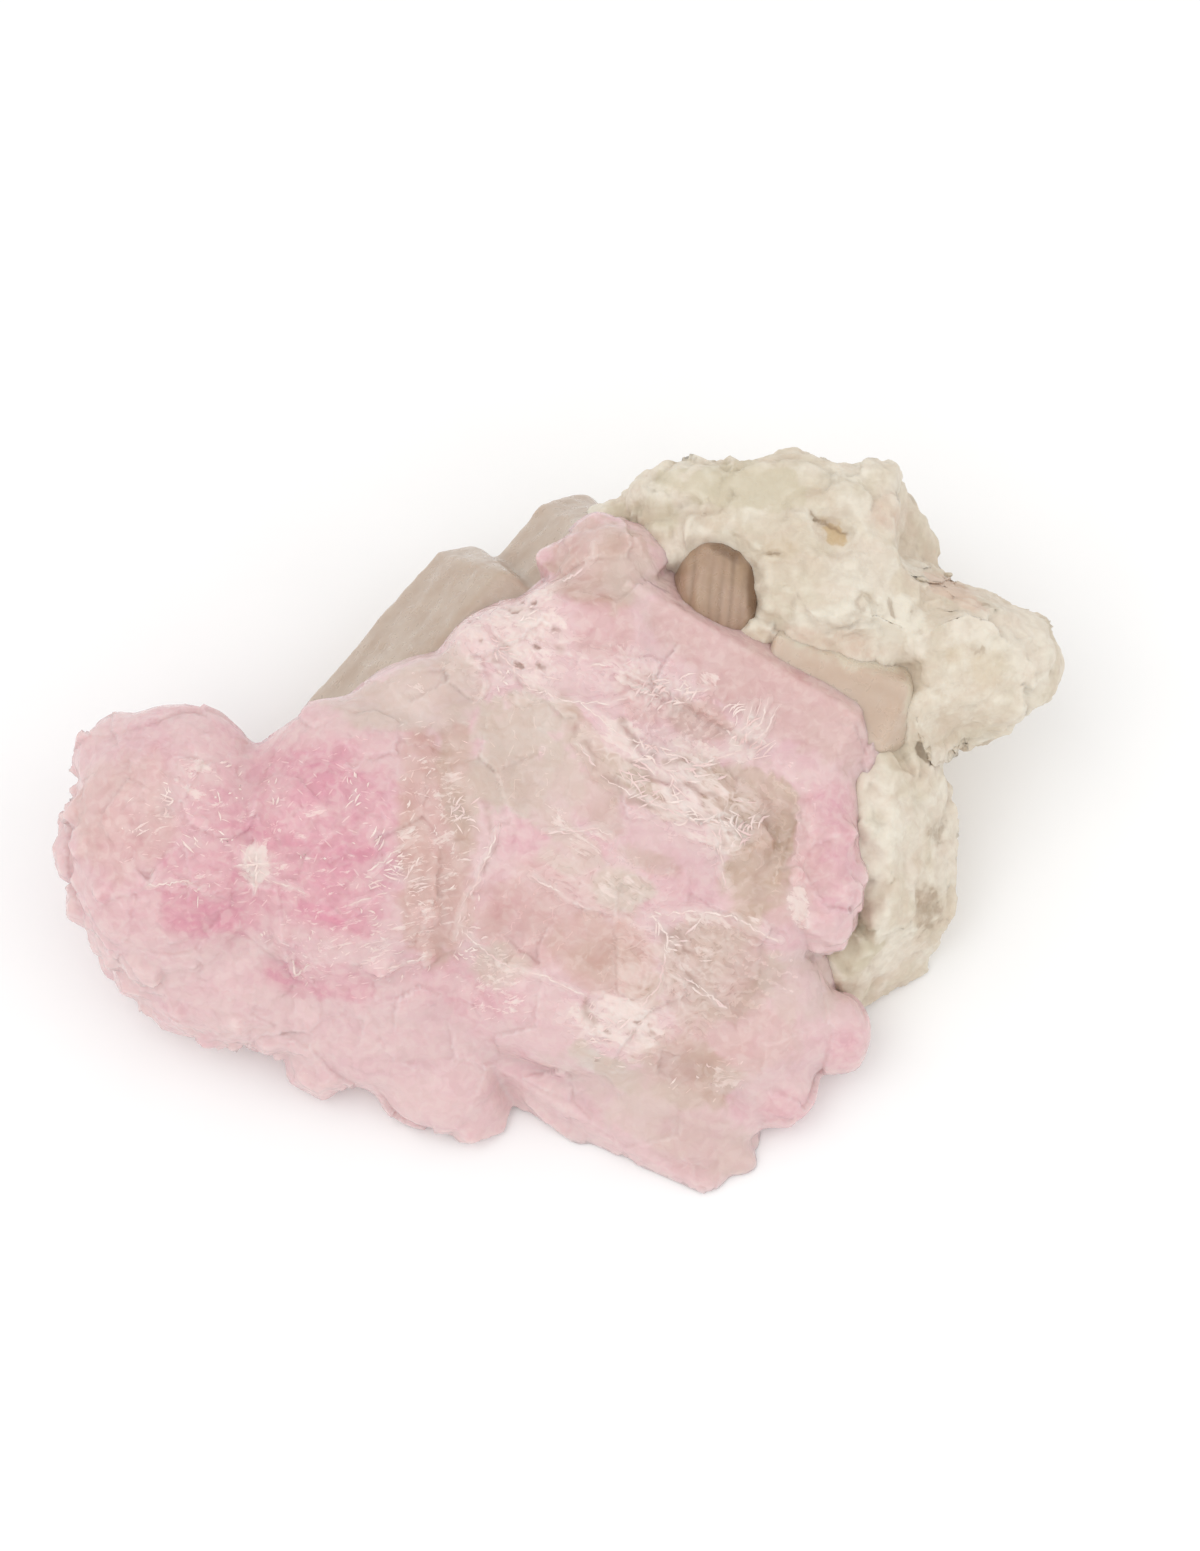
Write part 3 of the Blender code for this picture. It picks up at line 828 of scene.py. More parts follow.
@dataclass
class SharedEffects:
    """Node groups that more than one mineral's finish uses."""

    place: Tree = field(init=False)
    mottle: Tree = field(init=False)
    ragged: Tree = field(init=False)
    flakes: Tree = field(init=False)
    dashes: Tree = field(init=False)
    feathers: Tree = field(init=False)

    def build(self) -> None:
        """Builds each group once."""
        self.place = self.build_place()
        self.mottle = self.build_mottle()
        self.ragged = self.build_ragged()
        self.flakes = self.build_flakes()
        self.dashes = self.build_dashes()
        self.feathers = self.build_feathers()

    def build_place(self) -> Tree:
        """Places on the display face, in millimetres."""
        wiring, _, leave = new_group("display_face_place", {}, "Vector")
        place = wiring.node("TexCoord").outputs["Object"]
        turned = wiring.node("Mapping", {"vector_type": "POINT"}, Vector=place)
        turned.inputs["Rotation"].default_value = (math.radians(-FACE.lean), 0.0, 0.0)
        turned.inputs["Scale"].default_value = (1.0 / MM,) * 3
        wiring.feed(leave, "Vector", turned.outputs[0])
        return wiring.tree

    def build_mottle(self) -> Tree:
        """Broad and fine blotches, as two masks around a half."""
        inputs = {"Vector": None, "Broad": 4.0, "Fine": 0.8}
        wiring, given, leave = new_group("mineral_mottle", inputs, "Broad", "Fine")
        for title, detail in (("Broad", 3.0), ("Fine", 2.0)):
            scale = wiring.math("DIVIDE", 1.0, given[title])
            made = wiring.node(
                "TexNoise", Vector=given["Vector"], Scale=scale, Detail=detail, Distortion=0.5
            )
            wiring.feed(leave, title, wiring.span(made.outputs[0], 0.3, 0.7))
        return wiring.tree

    def build_ragged(self) -> Tree:
        """Turns a soft mask into one with torn, speckled edges."""
        inputs = {"Mask": 0.0, "Vector": None, "Size": 0.9, "Bite": 1.0}
        wiring, given, leave = new_group("torn_edges", inputs, "Mask")
        scale = wiring.math("DIVIDE", 1.0, given["Size"])
        torn = wiring.node(
            "TexNoise", Vector=given["Vector"], Scale=scale, Detail=3.0, Roughness=0.68
        )
        bite = wiring.times(wiring.math("SUBTRACT", torn.outputs[0], 0.5), given["Bite"])
        edge = wiring.math("ADD", given["Mask"], wiring.times(bite, 2.0))
        some = wiring.span(given["Mask"], 0.02, 0.2)
        wiring.feed(leave, "Mask", wiring.times(wiring.span(edge, 0.38, 0.7), some))
        return wiring.tree

    def build_flakes(self) -> Tree:
        """Torn flakes drawn out along one angle, denser where the mask is fuller."""
        inputs = {"Mask": 0.0, "Vector": None, "Size": 1.0, "Stretch": 3.0, "Angle": 0.0}
        wiring, given, leave = new_group("etched_flakes", inputs, "Mask")
        turned = wiring.node("VectorRotate", {"rotation_type": "Z_AXIS"})
        wiring.feed(turned, "Vector", given["Vector"])
        wiring.feed(turned, "Angle", wiring.times(given["Angle"], -1.0))
        across = wiring.math("DIVIDE", 1.0, given["Size"])
        along = wiring.math("DIVIDE", across, given["Stretch"])
        scale = wiring.node("CombineXYZ", X=along, Y=across, Z=across)
        scaled = wiring.node("VectorMath", {"operation": "MULTIPLY"})
        wiring.feed(scaled, 0, turned.outputs[0])
        wiring.feed(scaled, 1, scale.outputs[0])
        torn = wiring.node(
            "TexNoise", Vector=scaled.outputs[0], Scale=1.0, Detail=4.0, Roughness=0.7
        )
        torn.inputs["Distortion"].default_value = 0.5
        level = wiring.math("ADD", torn.outputs[0], wiring.times(given["Mask"], 0.34))
        wiring.feed(leave, "Mask", wiring.span(level, 0.74, 0.86))
        return wiring.tree

    def build_dashes(self) -> Tree:
        """Short thin dashes around one main angle, at most one to a cell: painted glints."""
        inputs = {"Vector": None, "Cell": 1.4, "Width": 0.06}
        inputs |= {"Angle": 0.0, "Spread": 1.0, "Share": 0.6}
        wiring, given, leave = new_group("painted_glint_dashes", inputs, "Mask")
        scaled = wiring.node("VectorMath", {"operation": "SCALE"})
        wiring.feed(scaled, 0, given["Vector"])
        wiring.feed(scaled, "Scale", wiring.math("DIVIDE", 1.0, given["Cell"]))
        cell = wiring.node("TexVoronoi", Vector=scaled.outputs[0], Scale=1.0)
        local = wiring.node("VectorMath", {"operation": "SUBTRACT"})
        wiring.feed(local, 0, scaled.outputs[0])
        wiring.feed(local, 1, cell.outputs["Position"])
        chance = wiring.node("SeparateColor", Color=cell.outputs["Color"])
        swing = wiring.times(wiring.math("SUBTRACT", chance.outputs[0], 0.5), 2.0)
        swing = wiring.times(swing, given["Spread"])
        turned = wiring.node("VectorRotate", {"rotation_type": "Z_AXIS"})
        wiring.feed(turned, "Vector", local.outputs[0])
        wiring.feed(turned, "Angle", wiring.math("SUBTRACT", swing, given["Angle"]))
        parts = wiring.node("SeparateXYZ", Vector=turned.outputs[0])
        reach = wiring.shifted(chance.outputs[2], 0.3, 0.16)
        along = wiring.math("DIVIDE", parts.outputs[0], reach)
        across = wiring.math("DIVIDE", parts.outputs[1], given["Width"])
        deep = wiring.math("DIVIDE", parts.outputs[2], 0.6)
        total = 0.0
        for share in (along, across, deep):
            total = wiring.math("ADD", total, wiring.times(share, share))
        dash = wiring.math("SUBTRACT", 1.0, wiring.span(total, 0.4, 1.0))
        kept = wiring.math("LESS_THAN", chance.outputs[1], given["Share"])
        wiring.feed(leave, "Mask", wiring.times(dash, kept))
        return wiring.tree

    def build_feathers(self) -> Tree:
        """Thin wavering lines that run down to the right, as etched edges do."""
        inputs = {"Vector": None, "Size": 2.4, "Sharpness": 10.0}
        wiring, given, leave = new_group("etched_feathers", inputs, "Mask")
        warp = wiring.node("TexNoise", Vector=given["Vector"], Scale=0.5, Detail=1.0)
        swayed = wiring.node("VectorMath", {"operation": "MULTIPLY_ADD"})
        wiring.feed(swayed, 0, warp.outputs["Color"])
        wiring.feed(swayed, 1, (3.0, 3.0, 3.0))
        wiring.feed(swayed, 2, given["Vector"])
        turned = wiring.node("Mapping", Vector=swayed.outputs[0])
        turned.inputs["Rotation"].default_value = (0.0, 0.0, math.radians(34.0))
        turned.inputs["Scale"].default_value = (0.4, 1.0, 0.6)
        scale = wiring.math("DIVIDE", 1.0, given["Size"])
        line = wiring.node("TexNoise", Vector=turned.outputs[0], Scale=scale, Detail=2.5)
        offset = wiring.math("ABSOLUTE", wiring.math("SUBTRACT", line.outputs[0], 0.5))
        ridge = wiring.math("SUBTRACT", 1.0, wiring.times(offset, given["Sharpness"]))
        wiring.feed(leave, "Mask", wiring.math("MAXIMUM", ridge, 0.0))
        return wiring.tree


EFFECTS = SharedEffects()


def principled(name: str) -> tuple[Wiring, bpy.types.Node, bpy.types.Material]:
    """A new material and its Principled shader."""
    material = bpy.data.materials.new(name)
    material.use_nodes = True
    return Wiring(material.node_tree), material.node_tree.nodes["Principled BSDF"], material


@dataclass(frozen=True)
class Surface:
    """A mineral's surface, and how light travels inside it.

    Attributes:
        glow: Share of the light that scatters inside.
        reach: How far it travels, in millimetres.
        radius: That reach for red, green and blue.
        clearness: Share of the light that passes through.
        gloss: Weight of the smooth coat.
        rough: How much dullness adds to the roughness, and the roughness without it.
        bump: Strength of the fine relief, and its height in millimetres.
    """

    glow: float
    reach: float
    radius: Spot
    clearness: float
    gloss: float
    rough: Face
    bump: Face

    def finish(
        self, wiring: Wiring, shader: bpy.types.Node, colour: Socket, dull: Socket, height: Socket
    ) -> None:
        """Links what varies to a shader, and sets the even values on its own sockets."""
        strength, depth = self.bump
        bump = wiring.node("Bump", Strength=strength, Distance=depth * MM, Height=height)
        values = {
            "Base Color": colour,
            "Roughness": wiring.shifted(dull, *self.rough),
            "Normal": bump.outputs[0],
            "IOR": QUARTZ_IOR,
            "Subsurface Weight": self.glow,
            "Subsurface Radius": self.radius,
            "Subsurface Scale": self.reach * MM,
            "Transmission Weight": self.clearness,
            "Coat Weight": self.gloss,
            "Coat Roughness": 0.12,
        }
        for name, value in values.items():
            wiring.feed(shader, name, value)


@dataclass(frozen=True)
class PinkQuartzFinish:
    """Milky pink quartz: deep in the domes, beige in its windows, white where it is etched."""

    pale: Colour = tone(223, 184, 189)
    deep: Colour = tone(219, 150, 167)
    rich: Colour = tone(214, 138, 161)
    warm: Colour = tone(208, 166, 157)
    smoke: Colour = tone(194, 165, 144)
    milk: Colour = tone(220, 207, 199)
    veil: Colour = tone(233, 215, 208)
    white: Colour = tone(240, 223, 216)
    dark: Colour = tone(174, 136, 122)
    surface: Surface = Surface(0.6, 1.3, (1.0, 0.75, 0.75), 0.08, 0.15, (0.3, 0.25), (0.5, 0.1))
    streaks: float = 0.35
    haze: float = 0.4
    frost_and_glint: float = 0.8
    pits: float = 0.8
    crest_highlight: float = 0.3

    def build(self) -> bpy.types.Material:
        """Wires the finish."""
        wiring, shader, material = principled("pink_quartz_finish")
        place = wiring.group(EFFECTS.place).outputs[0]
        mottle = wiring.group(EFFECTS.mottle, Vector=place, Broad=3.0, Fine=0.8)
        broad, fine = mottle.outputs
        body = self.body(wiring, broad, fine)
        for size, sharpness, share in ((4.0, 5.0, 0.25), (1.7, 8.0, 0.22)):
            wisps = wiring.group(
                EFFECTS.feathers, Vector=place, Size=size, Sharpness=sharpness
            ).outputs[0]
            body = wiring.tint(body, self.veil, wisps, share)
            milky = wiring.times(wisps, wiring.mask("milk"))
            body = wiring.tint(body, self.smoke, milky, self.streaks)
        veil = self.flaked(wiring, place)
        body = wiring.tint(body, self.veil, wiring.mask("veil"), self.haze)
        body = wiring.tint(body, self.white, veil, self.frost_and_glint)
        bright = self.bright(wiring, place)
        body = wiring.tint(body, self.white, bright, self.frost_and_glint)
        # partly painted shade: pits and slots are darkened, as shade and the deeper stone in them
        body = wiring.tint(body, self.dark, wiring.mask("pit"), self.pits)
        # painted highlight: crests of the skin are lightened towards the veil colour
        body = wiring.tint(body, self.veil, wiring.mask("edge"), self.crest_highlight)
        dull = wiring.math("MAXIMUM", veil, bright)
        height = wiring.math("ADD", wiring.times(fine, 0.6), wiring.mask("seam"))
        self.surface.finish(wiring, shader, body, dull, height)
        return material

    def flaked(self, wiring: Wiring, place: Socket) -> Socket:
        """The mask of the torn white skin, drawn out differently in each part; its brush part, on
        the sparkling patches, is painted glints.
        """
        flaked = 0.0
        kinds = (("veil", 1.3, 1.7, -0.2), ("flake", 0.9, 3.6, -0.58), ("brush", 0.5, 4.0, 0.2))
        for name, size, stretch, angle in kinds:
            mask = wiring.mask(name)
            drawn = {"Size": size, "Stretch": stretch, "Angle": angle}
            made = wiring.group(EFFECTS.flakes, Mask=mask, Vector=place, **drawn)
            flaked = wiring.math("MAXIMUM", flaked, made.outputs[0])
        return flaked

    def body(self, wiring: Wiring, broad: Socket, fine: Socket) -> Socket:
        """The colour of the stone under its etched skin."""
        uneven = wiring.shifted(broad, 0.4, 0.76)
        body = wiring.tint(self.pale, self.veil, broad, 0.2)
        blush = wiring.times(wiring.mask("blush"), uneven)
        body = wiring.mix(blush, body, self.deep)
        spots = wiring.times(wiring.span(fine, 0.5, 0.8), blush)
        body = wiring.tint(body, self.rich, spots, 0.5)
        for name, colour in (("warm", self.warm), ("smoke", self.smoke), ("milk", self.milk)):
            body = wiring.tint(body, colour, wiring.mask(name), uneven)
        body = wiring.tint(body, self.veil, wiring.span(fine, 0.35, 0.1), 0.22)
        return wiring.tint(body, self.dark, wiring.span(fine, 0.6, 0.9), 0.1)

    def bright(self, wiring: Wiring, place: Socket) -> Socket:
        """The mask of seams, feathers and dashes that catch the light."""
        feathers = wiring.group(EFFECTS.feathers, Vector=place, Size=1.1, Sharpness=11.0)
        streaks = wiring.times(feathers.outputs[0], wiring.mask("etch"))
        bright = wiring.math("MAXIMUM", wiring.mask("seam"), streaks)
        # painted highlight: glints drawn as short dashes over the sparkling patches
        dashes = wiring.group(
            EFFECTS.dashes, Vector=place, Cell=1.0, Width=0.065, Angle=0.15, Spread=1.1, Share=0.65
        )
        sparks = wiring.times(dashes.outputs[0], wiring.mask("spark"))
        return wiring.math("MAXIMUM", bright, sparks)


@dataclass(frozen=True)
class EtchedRidgeFinish:
    """The frosted white of ridges that acid left standing."""

    white: Colour = tone(245, 229, 222)
    blush: Colour = tone(235, 207, 203)

    def build(self) -> bpy.types.Material:
        """Wires the finish."""
        wiring, shader, material = principled("etched_ridge_finish")
        place = wiring.group(EFFECTS.place).outputs[0]
        fine = wiring.group(EFFECTS.mottle, Vector=place, Broad=1.6, Fine=0.6).outputs[0]
        wiring.feed(shader, "Base Color", wiring.mix(fine, self.white, self.blush))
        shader.inputs["Roughness"].default_value = 0.6
        return material


@dataclass(frozen=True)
class SmokyQuartzFinish:
    """Smooth beige to brown quartz with growth lines along the crystal."""

    name: str
    body: Colour
    shade_and_line_tone: Colour
    pale: Colour
    rind: Colour = tone(218, 207, 188)
    lines: float = 0.2
    surface: Surface = Surface(0.5, 1.0, (1.0, 0.85, 0.7), 0.08, 0.15, (0.15, 0.25), (0.25, 0.06))

    def build(self) -> bpy.types.Material:
        """Wires the finish."""
        wiring, shader, material = principled(self.name)
        place = wiring.group(EFFECTS.place).outputs[0]
        mottle = wiring.group(EFFECTS.mottle, Vector=place, Broad=3.6, Fine=0.8)
        broad, fine = mottle.outputs
        colour = wiring.tint(self.body, self.pale, broad, 0.6)
        colour = wiring.tint(colour, self.shade_and_line_tone, fine, 0.15)
        wisps = wiring.group(EFFECTS.feathers, Vector=place, Size=2.6, Sharpness=7.0).outputs[0]
        colour = wiring.tint(colour, self.pale, wisps, 0.25)
        colour = wiring.tint(colour, self.shade_and_line_tone, wiring.mask("line"), self.lines)
        # painted shade: the dark patches darken the crystals' shaded sides and rims
        colour = wiring.mix(wiring.mask("dark"), colour, self.shade_and_line_tone)
        colour = wiring.mix(wiring.mask("rind"), colour, self.rind)
        self.surface.finish(wiring, shader, colour, fine, fine)
        return material


@dataclass(frozen=True)
class CreamFeldsparFinish:
    """Dull cream rock, stained ochre and grey-green in places, whiter on its knobs by painted
    highlight, darker in its creases, clefts and along its top by painted shade.
    """

    cream: Colour = tone(215, 204, 184)
    chalk: Colour = tone(229, 222, 207)
    grey: Colour = tone(204, 194, 176)
    ochre: Colour = tone(196, 168, 124)
    earth: Colour = tone(146, 120, 94)
    rosy: Colour = tone(210, 186, 168)
    grey_green_and_shade: Colour = tone(201, 190, 165)
    surface: Surface = Surface(0.2, 0.7, (1.0, 0.85, 0.7), 0.0, 0.0, (0.2, 0.55), (0.4, 0.08))
    crest_highlight: float = 0.35

    def build(self) -> bpy.types.Material:
        """Wires the finish."""
        wiring, shader, material = principled("cream_feldspar_finish")
        place = wiring.group(EFFECTS.place).outputs[0]
        mottle = wiring.group(EFFECTS.mottle, Vector=place, Broad=3.2, Fine=0.7)
        broad, fine = mottle.outputs
        clouds = wiring.group(EFFECTS.mottle, Vector=place, Broad=6.5, Fine=1.7)
        colour = wiring.mix(wiring.span(clouds.outputs[0], 0.3, 0.7), self.cream, self.chalk)
        colour = wiring.tint(colour, self.grey, clouds.outputs[1], 0.3)
        colour = wiring.tint(colour, self.rosy, broad, 0.25)
        colour = wiring.tint(colour, self.earth, fine, 0.14)
        cracks = wiring.group(EFFECTS.feathers, Vector=place, Size=3.0, Sharpness=16.0).outputs[0]
        colour = wiring.tint(colour, self.rosy, cracks, 0.22)
        # besides stains, the grime row carries painted shade in creases and clefts, the moss row
        # painted shade along the top
        stains = (
            ("rosy", self.rosy, 0.9),
            ("grey_green_and_shade", self.grey_green_and_shade, 0.8),
            ("chalk", self.chalk, 0.9),
            ("ochre", self.ochre, 0.85),
            ("grime_and_crease_shade", self.earth, 0.7),
        )
        for name, stain, strength in stains:
            torn = wiring.group(
                EFFECTS.ragged, Mask=wiring.mask(name), Vector=place, Size=1.2, Bite=0.5
            )
            shared = wiring.math("ADD", torn.outputs[0], wiring.mask(name))
            colour = wiring.tint(colour, stain, shared, strength / 2.0)
        # painted highlight: crests of the rock are lightened towards chalk
        colour = wiring.tint(colour, self.chalk, wiring.mask("edge"), self.crest_highlight)
        height = wiring.math("ADD", fine, wiring.times(cracks, -0.5))
        self.surface.finish(wiring, shader, colour, fine, height)
        return material


# ---------------------------------------------------------------- the pieces


def dress(obj: Piece, material: bpy.types.Material, nodes: tuple[str, ...]) -> None:
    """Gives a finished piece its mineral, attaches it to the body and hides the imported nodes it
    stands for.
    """
    obj.data.materials.clear()
    obj.data.materials.append(material)
    obj.data.shade_smooth()
    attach(obj, BODY)
    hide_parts(*nodes)


@dataclass(frozen=True)
class Hatch:
    """Tufts of fine bright strokes scattered over a patch, around one angle."""

    patch: Patch
    tufts: int
    angle: float
    spread: float
    lengths: Face
    bend: float = 16.0
    stray: float = 0.35
    gaps: Face = (0.2, 0.5)
    shares: Face = (0.4, 1.1)

    def strokes(self, chance: random.Random) -> list[list[Face]]:
        """The strokes' lines on the display face."""
        found = []
        turn = Matrix.Rotation(math.radians(self.patch.turn), 2)
        for _ in range(self.tufts):
            ring, way = math.sqrt(chance.random()), chance.uniform(0.0, 2.0 * math.pi)
            spot = Vector((ring * math.cos(way), ring * math.sin(way)))
            middle = Vector(self.patch.centre) + turn @ (spot * Vector(self.patch.radii))
            angle = math.radians(chance.gauss(self.angle, self.spread))
            bend = math.radians(chance.gauss(0.0, self.bend))
            length = chance.uniform(*self.lengths)
            side = Vector((-math.sin(angle), math.cos(angle)))
            strands = chance.choice((1, 1, 2, 4))
            for strand in range(strands):
                offset = side * (strand - strands / 2.0) * chance.uniform(*self.gaps)
                fan = angle + chance.gauss(0.0, self.stray)
                start = middle + offset + side.orthogonal() * chance.gauss(0.0, self.stray)
                share = chance.uniform(*self.shares)
                found.append(self.stroke(start, fan, bend, length * share))
        return found

    def stroke(self, start: Vector, angle: float, bend: float, length: float) -> list[Face]:
        """One bent stroke.

        Args:
            start: Where it starts on the display face.
            angle: The way that it sets out.
            bend: How much it turns at each of its points.
            length: Its length.

        Returns:
            Its points.
        """
        points = [start]
        for _ in range(3):
            step = Vector((math.cos(angle), math.sin(angle))) * length / 3.0
            points.append(points[-1] + step)
            angle += bend
        return [tuple(point) for point in points]


@dataclass
class Etchings:
    """Thin bright ridges that lie on the pink quartz, all of one swept mesh."""

    hatches: tuple[Hatch, ...]
    seams: tuple[Seam, ...]
    thickness: Face = (0.07, 0.18)
    sunk: float = 0.55
    step: float = 0.7
    gap_chance: float = 0.15
    sway: float = 0.07
    above: float = 30.0
    lowest: float = -9.0

    def build(self, ground: Piece) -> Piece:
        """Lays the strokes over a piece."""
        tree = BVHTree.FromObject(ground, bpy.context.evaluated_depsgraph_get())
        curve = bpy.data.curves.new("etchings", "CURVE")
        curve.dimensions = "3D"
        curve.bevel_depth = MM
        curve.bevel_resolution = 0
        curve.use_fill_caps = True
        chance = random.Random("etchings")
        lines = [line for hatch in self.hatches for line in hatch.strokes(chance)]
        lines += [line for seam in self.seams for line in self.broken(seam, chance)]
        for line in lines:
            self.lay(curve, tree, line, chance.uniform(*self.thickness))
        strokes = bpy.data.objects.new("etchings", curve)
        bpy.context.scene.collection.objects.link(strokes)
        make_active(strokes)
        bpy.ops.object.convert(target="MESH")
        LOG.info("etchings: %d strokes", len(lines))
        return bpy.context.object

    def broken(self, seam: Seam, chance: random.Random) -> list[list[Face]]:
        """A seam's points as short strokes that follow it unevenly."""
        found = []
        for start, end in zip(seam.points, seam.points[1:]):
            run = Vector(end) - Vector(start)
            count = max(1, round(run.length / self.step))
            for index in range(count):
                if chance.random() < self.gap_chance:
                    continue
                first = Vector(start) + run * ((index - 0.2) / count)
                last = Vector(start) + run * ((index + 1.15) / count)
                points = [first.lerp(last, share / 3.0) for share in range(4)]
                moves = [Vector(chance.gauss(0, self.sway) for _ in range(2)) for _ in points]
                found.append([tuple(point + move) for point, move in zip(points, moves)])
        return found

    def lay(
        self, curve: bpy.types.Curve, tree: BVHTree, line: list[Face], thickness: float
    ) -> None:
        """Adds one stroke to the curve where all of it finds ground.

        Args:
            curve: The curve that holds the strokes.
            tree: The ground's faces.
            line: The stroke's points on the display face.
            thickness: Its half width at the middle.
        """
        down = Vector((0.0, 0.0, -1.0))
        above = self.above * MM
        hits = [tree.ray_cast(Vector((u * MM, v * MM, above)), down) for u, v in line]
        if any(place is None or place.z < self.lowest * MM for place, *_ in hits):
            return
        spline = curve.splines.new("POLY")
        spline.points.add(len(hits) - 1)
        for index, (place, normal, *_) in enumerate(hits):
            taper = math.sin(math.pi * (index + 0.25) / (len(hits) - 0.5))
            lifted = place - normal * self.sunk * thickness * taper * MM
            spline.points[index].co = (*lifted, 1.0)
            spline.points[index].radius = thickness * max(taper, 0.15)


@dataclass(frozen=True)
class Ripple:
    """Shell-like arcs around a point, within a patch."""

    patch: Patch
    centre: Face
    spacing: float
    height: float

    def wave(self, face: Values, fray: Values) -> tuple[Values, Values]:
        """The arcs' height in millimetres, and the mask of their crests.

        Args:
            face: Places on the display face.
            fray: Noise that makes the arcs waver.

        Returns:
            Two values for each point.
        """
        away = np.linalg.norm(face - np.array(self.centre), axis=1) + 0.9 * fray
        wave = np.sin(2.0 * math.pi * away / self.spacing)
        cover = self.patch.cover(face, fray)
        return self.height * cover * wave, cover * smooth_step(0.6, 1.0, wave)


@dataclass(frozen=True)
class Relief:
    """Heights of what is worked into the pink quartz's skin, in millimetres.

    Attributes:
        feather: Torn lines of the etched middle.
        pit: Depth of the pits.
        slot: Depth of the dark gaps beside the white ridges.
        facet: Small facets all over.
        dome_facet: What the domes' facets have on top of that.
        block: Broad facets all over.
        side_block: What the sides' broad facets have on top of that.
        flatness: Share of the facets that the smooth plates lose.
        grain: Fine unevenness.
    """

    feather: float = 0.14
    pit: float = 0.2
    slot: float = 0.06
    facet: float = 0.03
    dome_facet: float = 0.1
    block: float = 0.26
    side_block: float = 0.24
    flatness: float = 0.85
    grain: float = 0.04


